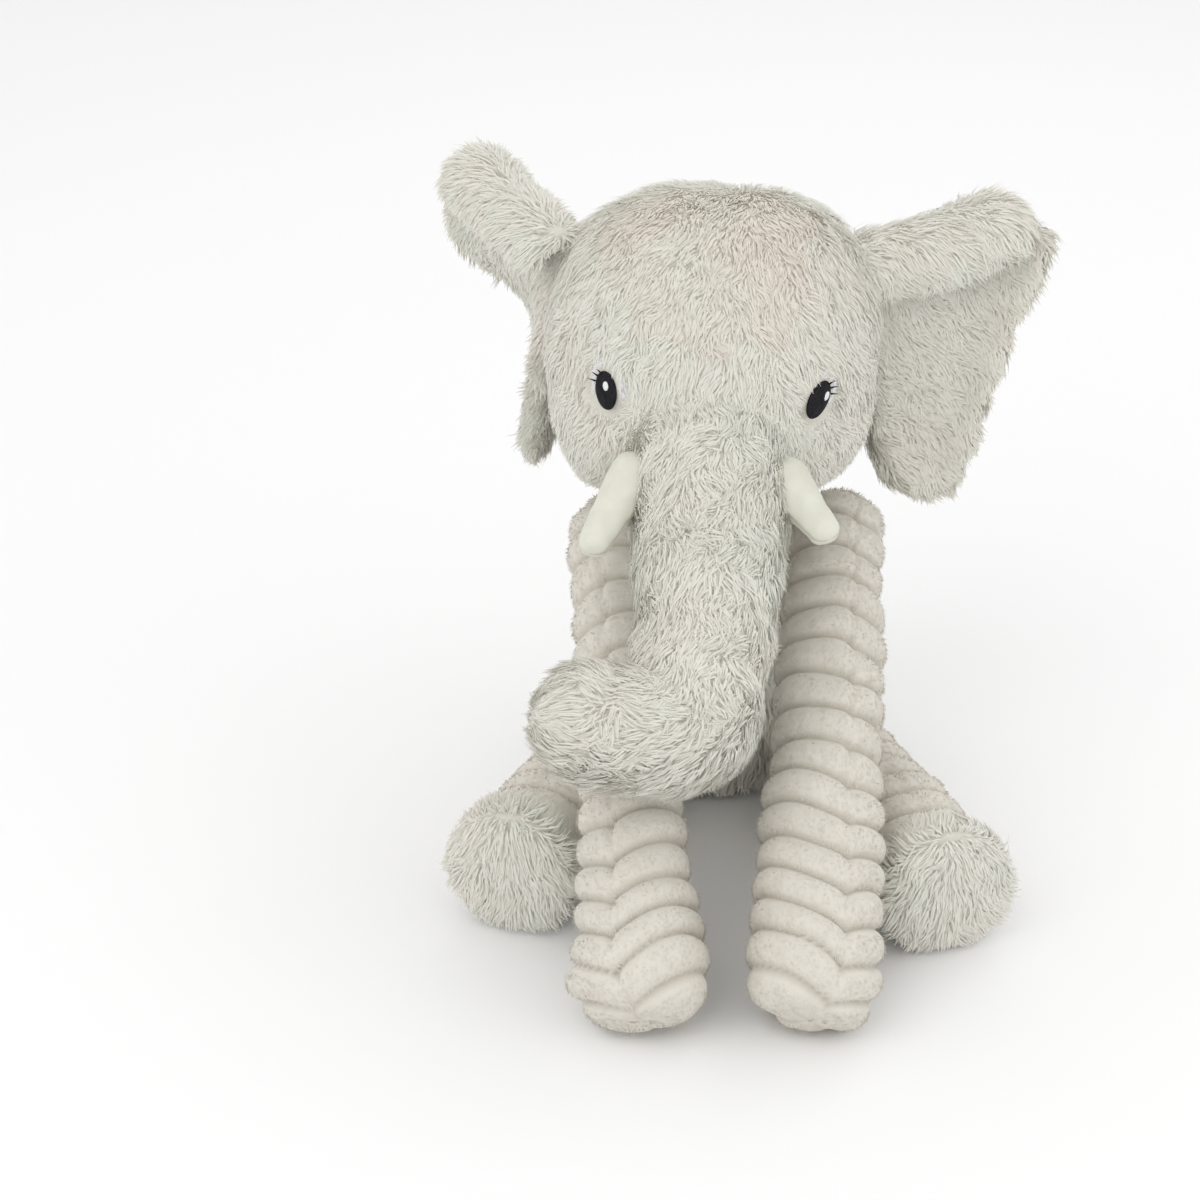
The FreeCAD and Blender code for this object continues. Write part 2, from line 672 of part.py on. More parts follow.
def ear_fold(label, side):
    """Rolled top edge of an ear: a tube with round ends, in the swept ear's frame."""
    sign = SIDE_SIGN[side]
    axis, turn = ear_frame(side)
    high = value["ear_fold_high"] + value[f"ear_perk{SIDE_MARK[side]}"]
    inner = axis + turn.multVec(FreeCAD.Vector(sign * value["ear_fold_in"], 0, value["ear_fold_low"]))
    outer = axis + turn.multVec(FreeCAD.Vector(sign * value["ear_fold_u"], 0, high))
    run = outer - inner
    tube = doc.addObject("Part::Cylinder", f"{label}_tube")
    bind(tube, Radius=cell("ear_fold_rad"))
    tube.Height = run.Length
    tube.Placement = FreeCAD.Placement(inner, FreeCAD.Rotation(FreeCAD.Vector(0, 0, 1), run))
    tip = doc.addObject("Part::Sphere", f"{label}_tip")
    bind(tip, Radius=cell("ear_fold_rad"))
    tip.Placement.Base = outer
    # The roll starts clear of the head, so it is trimmed beside the root axis.
    trim = doc.addObject("Part::Box", f"{label}_trim")
    trim.Length, trim.Width, trim.Height = BIG, 2 * BIG, 2 * BIG
    inward = -BIG if sign > 0 else 0
    corner = FreeCAD.Vector(inward + sign * value["ear_fold_trim"], -BIG, -BIG)
    trim.Placement = FreeCAD.Placement(axis + turn.multVec(corner), turn)
    return cut(label, fuse(f"{label}_whole", tube, tip), trim)


def build_ear(side):
    """Ear of a front panel, a back panel that folds over the top edge, and wadding."""
    plate = ear_plate(f"ear_blank_{side}", side, 1.0, cell("ear_thick"))
    pocket = ear_plate(f"ear_pocket_{side}", side, value["ear_core"], cell("ear_core_thick"))
    wadding_size = value["ear_core"] - value["ear_core_play"]
    wadding_thick = f"{cell('ear_core_thick')} - 2 * {cell('slack')}"
    wadding = ear_plate(f"ear_wadding_{side}", side, wadding_size, wadding_thick)
    node(wadding, f"ear_wadding_{side}")
    seam_size = [cell("ear_root_rad"), cell("ear_root_low"), cell("ear_root_tall")]
    seam = upright(f"ear_seam_{side}", side, *seam_size)
    fold = ear_fold(f"ear_fold_{side}", side)
    axis, turn = ear_frame(side)
    corner = axis + turn.multVec(FreeCAD.Vector(-BIG, -BIG, -BIG))
    front_half = block(f"ear_front_half_{side}", turn, corner, FRONT_HALF)
    slab = common(f"ear_front_slab_{side}", plate, front_half)
    front = cut(f"ear_front_{side}", slab, pocket, seam, fold)
    node(front, f"ear_front_{side}")
    whole = fuse(f"ear_whole_{side}", plate, seam, fold)
    node(cut(f"ear_back_{side}", whole, pocket, front), f"ear_back_{side}")


def build_arm(side):
    """Ribbed arm sewn from two long panels that meet down its front, over a filling."""
    mark = SIDE_MARK[side]
    start, end = f"arm{mark}", f"paw{mark}"
    form = limb(f"arm_form_{mark}", start, end, cell("arm_rad"), cell("paw_rad"))
    room = limb(f"arm_room_{mark}", start, end, less("arm_rad", "cloth"), less("paw_rad", "cloth"))
    core = limb(
        f"arm_filling_{mark}",
        start,
        end,
        less("arm_rad", "cloth", "slack"),
        less("paw_rad", "cloth", "slack"),
    )
    node(core, f"arm_filling_{side}")
    skin = cut(f"arm_skin_{mark}", form, room)
    turn = along(start, end)
    corner = point(start) + turn.multVec(FreeCAD.Vector(0, -BIG, -BIG))
    half = block(f"arm_seam_{mark}", turn, corner, LEFT_HALF)
    right_panel = common(f"arm_panel_right_{mark}", skin, half)
    left_panel = cut(f"arm_panel_left_{mark}", skin, half)
    inner, outer = (left_panel, right_panel) if side == "right" else (right_panel, left_panel)
    node(inner, f"arm_{side}_inner_panel")
    node(outer, f"arm_{side}_outer_panel")


def build_leg(side):
    """Ribbed leg tube over its filling, closed by a furry round sole."""
    mark = SIDE_MARK[side]
    start, end = f"leg{mark}", f"foot{mark}"
    back = along(end, start)

    def tube(label, *offsets):
        """Hip ball and taper to the foot."""
        return fuse(
            label,
            ball(f"{label}_hip", start, less("leg_rad", *offsets)),
            cone(f"{label}_taper", start, end, less("leg_rad", *offsets), less("foot_rad", *offsets)),
        )

    sole_room = disc(f"sole_room_{mark}", end, back, str(BIG), cell("sole_thick"))
    cloth_end = disc(f"leg_end_{mark}", end, back, str(BIG), more("sole_thick", "cloth"))
    fill_end = disc(f"leg_fill_end_{mark}", end, back, str(BIG), more("sole_thick", "cloth", "slack"))
    outer = cut(f"leg_outer_{mark}", tube(f"leg_form_{mark}"), sole_room)
    inner = cut(f"leg_inner_{mark}", tube(f"leg_room_{mark}", "cloth"), cloth_end)
    node(cut(f"leg_cover_{side}", outer, inner), f"leg_cover_{side}")
    core = tube(f"leg_core_{mark}", "cloth", "slack")
    node(cut(f"leg_filling_{side}", core, fill_end), f"leg_filling_{side}")
    blank = disc(f"sole_blank_{mark}", end, back, cell("foot_rad"), cell("sole_thick"))
    doc.recompute()
    sole = doc.addObject("Part::Fillet", f"foot_sole_{side}")
    sole.Base = blank
    distances = [(edge.CenterOfMass - point(end)).Length for edge in blank.Shape.Edges]
    rim = distances.index(min(distances))
    sole.Edges = [(rim + 1, value["sole_round"], value["sole_round"])]
    node(sole, f"foot_sole_{side}")


def build_tail():
    """Short sewn tail with a furry tuft that lies on the floor behind."""
    stem = fuse(
        "tail_form",
        ball("tail_start", "tail", cell("tail_rad")),
        cone("tail_taper", "tail", "tailend", cell("tail_rad"), cell("tail_end_rad")),
    )
    tuft = doc.addObject("Part::Ellipsoid", "tail_tuft_form")
    bind(tuft, Radius1=cell("tuft_rad"), Radius2=cell("tuft_rad"), Radius3=cell("tuft_long"))
    tuft.setExpression("Placement.Base.y", cell("tuft_y"))
    tuft.setExpression("Placement.Base.z", cell("tuft_z"))
    node(cut("tail_cover", stem, tuft), "tail_cover")
    node(tuft, "tail_tuft")


build_body()
build_neck()
build_head()
build_trunk()
for side in SIDE_SIGN:
    build_eye(side)
    build_tusk(side)
    build_ear(side)
    build_arm(side)
    build_leg(side)
build_tail()
doc.recompute()

for thing in doc.Objects:
    if "Invalid" in thing.State or "Error" in thing.State:
        raise RuntimeError(f"{thing.Name} failed: {thing.State}")
for thing in nodes:
    if thing.Shape.isNull() or not thing.Shape.isValid() or not thing.Shape.Solids:
        raise RuntimeError(f"{thing.Label} has no valid solid")

os.makedirs("parts", exist_ok=True)
for thing in nodes:
    thing.Shape.exportStep(f"parts/{thing.Label}.step")
    solids = len(thing.Shape.Solids)
    box = thing.Shape.BoundBox
    heights = f"z {box.ZMin:.2f} to {box.ZMax:.2f}"
    print(f"{thing.Label}: {solids} solid(s), {thing.Shape.Volume:.0f} mm3, {heights}")
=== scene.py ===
"""Seated stuffed elephant with long fur, ribbed limbs, folded ears and a curled trunk.

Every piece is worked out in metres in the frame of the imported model: the origin is under the
body on the surface the toy sits on, the face looks along -Y and +Z is up.
"""

import json
import logging
import math
from collections.abc import Callable
from dataclasses import dataclass, field, replace
from enum import Enum

import bmesh
import bpy
import numpy as np
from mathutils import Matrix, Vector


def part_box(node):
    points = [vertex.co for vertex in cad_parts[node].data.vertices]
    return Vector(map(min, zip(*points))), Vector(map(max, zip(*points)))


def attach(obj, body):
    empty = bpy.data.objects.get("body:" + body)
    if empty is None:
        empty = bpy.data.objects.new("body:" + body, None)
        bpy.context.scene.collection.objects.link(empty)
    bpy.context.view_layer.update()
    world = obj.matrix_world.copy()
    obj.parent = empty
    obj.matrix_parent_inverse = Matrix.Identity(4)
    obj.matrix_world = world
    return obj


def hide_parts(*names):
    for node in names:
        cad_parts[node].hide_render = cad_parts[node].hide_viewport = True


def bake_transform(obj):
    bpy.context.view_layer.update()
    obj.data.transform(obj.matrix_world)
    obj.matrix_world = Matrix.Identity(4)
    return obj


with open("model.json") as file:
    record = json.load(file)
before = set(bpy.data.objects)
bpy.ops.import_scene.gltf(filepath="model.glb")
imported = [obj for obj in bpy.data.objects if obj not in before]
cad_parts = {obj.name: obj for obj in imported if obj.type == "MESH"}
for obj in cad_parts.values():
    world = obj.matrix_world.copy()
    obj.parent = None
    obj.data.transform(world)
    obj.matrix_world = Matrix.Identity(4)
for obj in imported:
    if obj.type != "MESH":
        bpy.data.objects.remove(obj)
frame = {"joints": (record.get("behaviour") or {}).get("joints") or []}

log = logging.getLogger("elephant")
Array = np.ndarray
Colour = tuple[float, float, float]
MM = 0.001
FLOOR_GAP = 0.3 * MM
UP = np.array([0.0, 0.0, 1.0])


class Side(Enum):
    """The toy's own sides: its right is on -X, its left on +X."""

    RIGHT = "right"
    LEFT = "left"

    @property
    def sign(self) -> int:
        """-1 for the right side and +1 for the left."""
        return -1 if self is Side.RIGHT else 1


class Slot(Enum):
    """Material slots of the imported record."""

    LONG_FUR = "long_fur"
    SHORT_FUR = "short_fur"
    RIBBED = "ribbed_plush"
    SMOOTH = "smooth_plush"
    BLACK = "black_thread"
    WHITE = "white_thread"
    PALE = "pale_felt"


# ---------------------------------------------------------------- numbers and fields


def unit(vectors: Array) -> Array:
    """Vectors divided by their lengths.

    Args:
        vectors: array whose last axis is x, y, z.

    Returns:
        The same array with every vector one long.
    """
    return vectors / np.maximum(np.linalg.norm(vectors, axis=-1, keepdims=True), 1e-12)


def ramp(low: float, high: float, values: Array) -> Array:
    """Smooth step: 0 below low, 1 above high, and 3t^2 - 2t^3 between them.

    Args:
        low: where the step starts.
        high: where the step ends; it may be below low for a falling step.
        values: where it is read.

    Returns:
        The step's height at every value.
    """
    share = np.clip((values - low) / (high - low), 0.0, 1.0)
    return share * share * (3.0 - 2.0 * share)


def wander(points: Array, size: float, seed: int, waves: int = 14) -> Array:
    """Smooth random field of about -1 to 1: a sum of sine waves in random directions.

    Args:
        points: places where the field is read.
        size: distance from one swell to the next, in metres.
        seed: which field.
        waves: how many sine waves are added.

    Returns:
        The field's value at every point.
    """
    rng = np.random.default_rng(seed)
    ways = unit(rng.normal(size=(waves, 3))) * rng.uniform(0.7, 1.4, (waves, 1)) * math.tau / size
    turns = rng.uniform(0.0, math.tau, waves)
    return np.sin(points @ ways.T + turns).mean(-1) * math.sqrt(waves) * 0.9


def joint_place(name: str) -> Array:
    """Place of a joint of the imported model, in metres."""
    return np.array(next(j["pos_m"] for j in frame["joints"] if j["name"] == name), float)


def node_box(*nodes: str) -> tuple[Array, Array]:
    """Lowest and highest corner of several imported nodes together."""
    boxes = [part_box(name) for name in nodes]
    low = np.min([np.array(box[0]) for box in boxes], axis=0)
    return low, np.max([np.array(box[1]) for box in boxes], axis=0)


def smooth_line(knots: Array, count: int) -> Array:
    """Catmull-Rom curve through knots, read at even distances along it.

    Args:
        knots: points the curve passes, one row each.
        count: how many points are wanted.

    Returns:
        The points of the curve.
    """
    ends = np.vstack([2 * knots[0] - knots[1], knots, 2 * knots[-1] - knots[-2]])
    fine = np.linspace(0, len(knots) - 1, 60 * len(knots))
    low = np.minimum(fine.astype(int), len(knots) - 2)
    t = (fine - low)[:, None]
    a, b, c, d = ends[low], ends[low + 1], ends[low + 2], ends[low + 3]
    line = 0.5 * (2 * b + (c - a) * t + (2 * a - 5 * b + 4 * c - d) * t**2 + (3 * b - a - 3 * c + d) * t**3)
    run = np.concatenate([[0], np.cumsum(np.linalg.norm(np.diff(line, axis=0), axis=1))])
    wanted = np.linspace(0, run[-1], count)
    return np.stack([np.interp(wanted, run, line[:, axis]) for axis in range(line.shape[1])], -1)


# ---------------------------------------------------------------- meshes


def make_mesh(
    name: str, points: Array, faces: Array, values: dict[str, Array], weld: bool = False
) -> bpy.types.Object:
    """Puts points and faces of one kind into a new object at the origin.

    Args:
        name: the piece's name.
        points: one row per vertex.
        faces: vertex numbers, one row per face, all triangles or all quads.
        values: numbers per vertex, kept as attributes under their names.
        weld: merge vertices that lie in one place, which closes poles and seams.

    Returns:
        The new object, linked to the scene and shaded smooth.
    """
    mesh = bpy.data.meshes.new(name)
    mesh.vertices.add(len(points))
    mesh.vertices.foreach_set("co", points.astype(np.float32).ravel())
    mesh.loops.add(faces.size)
    mesh.loops.foreach_set("vertex_index", faces.astype(np.int32).ravel())
    mesh.polygons.add(len(faces))
    mesh.polygons.foreach_set("loop_start", np.arange(0, faces.size, faces.shape[1], dtype=np.int32))
    mesh.update(calc_edges=True)
    for key, numbers in values.items():
        layer = mesh.attributes.new(key, "FLOAT", "POINT")
        layer.data.foreach_set("value", np.asarray(numbers, np.float32).ravel())
    if weld:
        form = bmesh.new()
        form.from_mesh(mesh)
        bmesh.ops.remove_doubles(form, verts=form.verts, dist=1e-6)
        form.to_mesh(mesh)
        form.free()
    mesh.shade_smooth()
    piece = bpy.data.objects.new(name, mesh)
    bpy.context.scene.collection.objects.link(piece)
    return piece


@dataclass
class Roots:
    """Where strands of fur leave the cloth."""

    at: Array
    normal: Array
    along: Array
    row: Array
    column: Array


@dataclass
class Skin:
    """Closed cloth surface on a grid: rows run along the piece, columns wrap round it."""

    points: Array

    def normals(self) -> Array:
        """Outward normals: the column direction crossed with the row direction."""
        across = np.roll(self.points, -1, 1) - np.roll(self.points, 1, 1)
        along = np.gradient(self.points, axis=0)
        normal = unit(np.cross(across, along))
        normal[0] = unit(normal[1].mean(0))
        normal[-1] = unit(normal[-2].mean(0))
        return normal

    def swell(self, heights: Array) -> "Skin":
        """The surface moved out along its normals by a height at every grid point."""
        return Skin(self.points + self.normals() * heights[..., None])

    def build(self, name: str, values: dict[str, Array] | None = None) -> bpy.types.Object:
        """Makes the mesh: a quad between neighbouring rows and columns, poles welded shut."""
        rows, columns = self.points.shape[:2]
        row, column = np.meshgrid(np.arange(rows - 1), np.arange(columns), indexing="ij")
        a = row * columns + column
        b = row * columns + (column + 1) % columns
        faces = np.stack([a, b, b + columns, a + columns], -1).reshape(-1, 4)
        return make_mesh(name, self.points.reshape(-1, 3), faces, values or {}, weld=True)

    def scatter(self, per_area: float, rng: np.random.Generator) -> Roots:
        """Spreads roots evenly: each quad gets its share of the area, at random inside it.

        Args:
            per_area: roots to a square metre.
            rng: random numbers.

        Returns:
            The roots with their normals and the direction of the rows.
        """
        grid = self.points
        a, b = grid[:-1], np.roll(grid, -1, 1)[:-1]
        d, c = grid[1:], np.roll(grid, -1, 1)[1:]
        area = 0.5 * np.linalg.norm(np.cross(c - a, d - b), axis=-1).ravel()
        total = np.cumsum(area)
        count = int(total[-1] * per_area)
        spot = (np.arange(count) + rng.random(count)) / count * total[-1]
        quad = np.minimum(np.searchsorted(total, spot), len(total) - 1)
        row, column = np.divmod(quad, grid.shape[1])
        s, t = rng.random((2, count, 1))
        after = (column + 1) % grid.shape[1]

        def read(table: Array) -> Array:
            """Bilinear mean of a table at the roots."""
            near = table[row, column] * (1 - t) + table[row, after] * t
            far = table[row + 1, column] * (1 - t) + table[row + 1, after] * t
            return near * (1 - s) + far * s

        return Roots(
            at=read(grid),
            normal=unit(read(self.normals())),
            along=unit(read(np.gradient(grid, axis=0))),
            row=(row + s[:, 0]) / (grid.shape[0] - 1),
            column=(column + t[:, 0]) / grid.shape[1],
        )


def ball_skin(centre: Array, radii: Array, rows: int, columns: int, power: float = 2.0) -> Skin:
    """Egg that can be squarer from the front: (|x/a|^p + |z/c|^p)^(2/p) + (y/b)^2 = 1.

    Args:
        centre: middle of the form.
        radii: half sizes a, b and c.
        rows: grid rows from the bottom pole to the top one.
        columns: grid columns round it.
        power: p, 2 for an ellipsoid and more for a squarer outline.

    Returns:
        The surface.
    """
    rise = np.linspace(-math.pi / 2, math.pi / 2, rows)[:, None]
    turn = np.linspace(0, math.tau, columns, endpoint=False)[None, :]
    way = np.stack([np.cos(rise) * np.cos(turn), np.cos(rise) * np.sin(turn), np.sin(rise) + 0 * turn], -1)
    outline = (np.abs(way[..., [0]]) ** power + np.abs(way[..., [2]]) ** power) ** (2.0 / power)
    reach = (outline + way[..., [1]] ** 2) ** -0.5
    return Skin(centre + way * reach * radii)


def tube_skin(line: Array, radii: Array, columns: int, level: Array) -> Skin:
    """Circles round a line, each square to it; angle 0 is on the side that level points to.

    Args:
        line: centres, one row per station.
        radii: radius at every station; 0 closes an end.
        columns: grid columns round the tube.
        level: direction of the first column.

    Returns:
        The surface, with columns counter-clockwise about the line.
    """
    ahead = unit(np.gradient(line, axis=0))
    top = unit(level - (ahead @ level)[:, None] * ahead)
    side = np.cross(ahead, top)
    turn = np.linspace(0, math.tau, columns, endpoint=False)[None, :, None]
    ring = np.cos(turn) * top[:, None] + np.sin(turn) * side[:, None]
    return Skin(line[:, None] + ring * radii[:, None, None])


def limb_stations(
    length: float, start: float, end: float, step: float, cap: float = 0.86
) -> tuple[Array, Array]:
    """Distances along a limb with ball ends, and the radius at each.

    The first end is a ball: its radius is sqrt(r^2 - d^2) at distance d past its centre.  The
    last end is blunter: with d = cap r sin(a) its radius is r cos(a)^0.62.

    Args:
        length: distance between the two ball centres.
        start: radius of the first ball.
        end: radius of the last ball.
        step: spacing of the stations on the straight part.
        cap: how far the last end stands out, as a share of its radius.

    Returns:
        Distances from the first ball's centre, and radii.
    """
    quarter = np.linspace(0, math.pi / 2, 18)
    body = np.linspace(0, length, max(int(length / step), 4))[1:-1]
    distance = np.concatenate([-start * np.cos(quarter), body, length + cap * end * np.sin(quarter)])
    taper = start + (end - start) * body / length
    radius = np.concatenate([start * np.sin(quarter), taper, end * np.cos(quarter) ** 0.62])
    return distance, radius


# ---------------------------------------------------------------- fur

Comb = Callable[[Roots], Array]
Keep = Callable[[Roots], Array]


def lengthwise(roots: Roots) -> Array:
    """Comb that follows the cloth's own length."""
    return roots.along


def falling(roots: Roots) -> Array:
    """Comb that points straight down."""
    return np.broadcast_to(-UP, roots.at.shape)


@dataclass(frozen=True)
class Pile:
    """One kind of fur, grown as closed three-sided strands that gather into tufts.

    A strand leaves the cloth steeply and bends over into the way it is combed.  It is a flat
    spindle, widest where it bends; a pile that isn't bent has straight spikes.  Its outer faces
    are shaded much like the cloth under them, and strands cast no shadow on one another, which
    stands in for the light that real fur lets through.  Roots in one cell of a warped lattice
    belong to one tuft, and their tips are drawn to its mean tip.  Strands that would pass
    through the floor lie on it.
    """

    length: float
    width: float
    per_area: float
    stand: float = 0.45
    tuft: float = 4.5 * MM
    gather: float = 0.45
    stray: float = 0.22
    swirl: float = 0.55
    bent: bool = True
    seed: int = 1

    def grow(self, name: str, skin: Skin, comb: Comb, keep: Keep | None = None) -> bpy.types.Object:
        """Grows the fur of one piece.

        Args:
            name: the piece's name.
            skin: cloth that the fur grows on.
            comb: the way the fur lies at every root; it needn't lie in the cloth.
            keep: share of the full length at every root, where 0 leaves the cloth bare.

        Returns:
            The object that holds all the strands.
        """
        rng = np.random.default_rng(self.seed)
        roots = skin.scatter(self.per_area, rng)
        share = np.ones(len(roots.at)) if keep is None else keep(roots)
        kept = share > 0.12
        roots = Roots(
            roots.at[kept], roots.normal[kept], roots.along[kept], roots.row[kept], roots.column[kept]
        )
        share = share[kept]
        count = len(roots.at)
        lie = comb(roots)
        lie = unit(lie - (lie * roots.normal).sum(-1, keepdims=True) * roots.normal)
        side = np.cross(roots.normal, lie)
        swing = self.swirl * wander(roots.at, 3.2 * self.tuft, self.seed + 11)
        swing = swing + self.stray * rng.normal(size=count)
        lie = lie * np.cos(swing)[:, None] + side * np.sin(swing)[:, None]
        stand = self.stand + 0.14 * wander(roots.at, 4.1 * self.tuft, self.seed + 12)
        stand = stand + 0.1 * rng.normal(size=count)
        stand = np.clip(stand, 0.08, 1.6)[:, None]
        long = self.length * share * (1.0 + 0.16 * rng.normal(size=count)).clip(0.55, 1.4)
        long = long[:, None]
        low = unit(roots.normal * (stand + 0.35) + lie * 0.75)
        high = unit(roots.normal * stand * 0.45 + lie)
        base = roots.at - roots.normal * 0.0008
        middle = base + low * long * 0.48
        tip = middle + high * long * 0.52

        warp = np.stack([wander(roots.at, 2.4 * self.tuft, self.seed + 20 + axis) for axis in range(3)], -1)
        cell = np.floor((roots.at + 0.55 * self.tuft * warp) / self.tuft).astype(np.int64)
        key = (cell[:, 0] * 73856093) ^ (cell[:, 1] * 19349663) ^ (cell[:, 2] * 83492791)
        _, tuft, size = np.unique(key, return_inverse=True, return_counts=True)
        mean_tip = np.stack([np.bincount(tuft, tip[:, axis]) / size for axis in range(3)], -1)[tuft]
        pull = (self.gather * rng.uniform(0.5, 1.25, count))[:, None]
        tip = tip + (mean_tip - tip) * pull
        middle = middle + (mean_tip - tip) * pull * 0.18

        heading = unit(tip - base)
        across = unit(np.cross(roots.normal, heading))
        ridge = np.cross(heading, across)
        wide = (0.5 * self.width * rng.uniform(0.75, 1.25, count))[:, None]
        ring = np.stack([across * wide, ridge * wide * 0.35, -across * wide], 1)
        soft = unit(0.75 * roots.normal + 0.25 * ridge)
        tuft_tone = np.random.default_rng(self.seed + 5).random(len(size))[tuft]
        tone = 0.55 * tuft_tone + 0.45 * rng.random(count)
        if self.bent:
            points = np.concatenate([base[:, None], middle[:, None] + ring, tip[:, None]], 1)
            height = np.tile([0.0, 0.5, 0.5, 0.5, 1.0], (count, 1))
            pattern = [[1, 2, 4], [2, 3, 4], [2, 1, 0], [3, 2, 0], [3, 1, 4], [1, 3, 0]]
            upper = 4
        else:
            points = np.concatenate([base[:, None] + ring, tip[:, None]], 1)
            height = np.tile([0.0, 0.0, 0.0, 1.0], (count, 1))
            pattern = [[0, 1, 3], [1, 2, 3], [2, 0, 3], [0, 2, 1]]
            upper = 2
        points[..., 2] = np.maximum(points[..., 2], FLOOR_GAP * (0.5 + height))
        corners = points.shape[1]
        faces = (np.arange(count)[:, None, None] * corners + np.array(pattern)[None]).reshape(-1, 3)
        values = {"height": height, "tone": np.repeat(tone, corners)}
        piece = make_mesh(name, points.reshape(-1, 3), faces, values)
        normals = np.repeat(soft[:, None], 3 * len(pattern), 1)
        normals[:, 3 * upper :] = -ridge[:, None]
        piece.data.normals_split_custom_set(normals.reshape(-1, 3))
        piece.visible_shadow = False
        return piece


def dress(
    piece: bpy.types.Object,
    material: bpy.types.Material,
    body: str | None = None,
    replaces: tuple[str, ...] = (),
) -> bpy.types.Object:
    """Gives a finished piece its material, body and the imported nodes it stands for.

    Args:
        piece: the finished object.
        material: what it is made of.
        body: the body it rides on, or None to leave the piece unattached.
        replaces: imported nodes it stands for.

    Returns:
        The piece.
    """
    piece.data.materials.append(material)
    if replaces:
        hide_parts(*replaces)
    if body is not None:
        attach(piece, body)
    log.info("%s: %d faces", piece.name, len(piece.data.polygons))
    return piece


@dataclass(frozen=True)
class Coat:
    """Fur of one part in two layers: a short dense undercoat and a longer topcoat."""

    name: str
    skin: Skin
    comb: Comb
    finish: bpy.types.Material
    topcoat: Pile
    body: str | None = None
    keep: Keep | None = None
    slot: Slot = Slot.LONG_FUR

    def grow(self) -> list[bpy.types.Object]:
        """Grows both layers as pieces of their own.

        Returns:
            The two pieces.
        """
        under = replace(
            self.topcoat,
            length=0.62 * self.topcoat.length,
            width=1.15 * self.topcoat.width,
            stand=0.8 * self.topcoat.stand,
            gather=0.25,
            seed=self.topcoat.seed + 1000,
        )
        layers = {"undercoat": under, "topcoat": self.topcoat}
        pieces = []
        for layer, pile in layers.items():
            strands = pile.grow(f"{self.name}_{layer}", self.skin, self.comb, self.keep)
            pieces.append(dress(strands, self.finish, self.body))
        return pieces


# ---------------------------------------------------------------- materials


class Value:
    """A shader socket that takes part in arithmetic, adding a Math node for each operation."""

    def __init__(self, board: "Board", socket: bpy.types.NodeSocket) -> None:
        """Keeps the socket and the board its nodes go on."""
        self.board = board
        self.socket = socket

    def __add__(self, other: "Value | float") -> "Value":
        """Sum."""
        return self.board.math("ADD", self, other)

    def __radd__(self, other: float) -> "Value":
        """Sum with a plain number first."""
        return self.board.math("ADD", other, self)

    def __sub__(self, other: "Value | float") -> "Value":
        """Difference."""
        return self.board.math("SUBTRACT", self, other)

    def __rsub__(self, other: float) -> "Value":
        """Plain number less this value."""
        return self.board.math("SUBTRACT", other, self)

    def __mul__(self, other: "Value | float") -> "Value":
        """Product."""
        return self.board.math("MULTIPLY", self, other)

    def __rmul__(self, other: float) -> "Value":
        """Product with a plain number first."""
        return self.board.math("MULTIPLY", other, self)

    def __pow__(self, other: float) -> "Value":
        """Power."""
        return self.board.math("POWER", self, other)

    def clamp(self) -> "Value":
        """The value held between 0 and 1."""
        return self.board.math("MINIMUM", self.board.math("MAXIMUM", self, 0.0), 1.0)


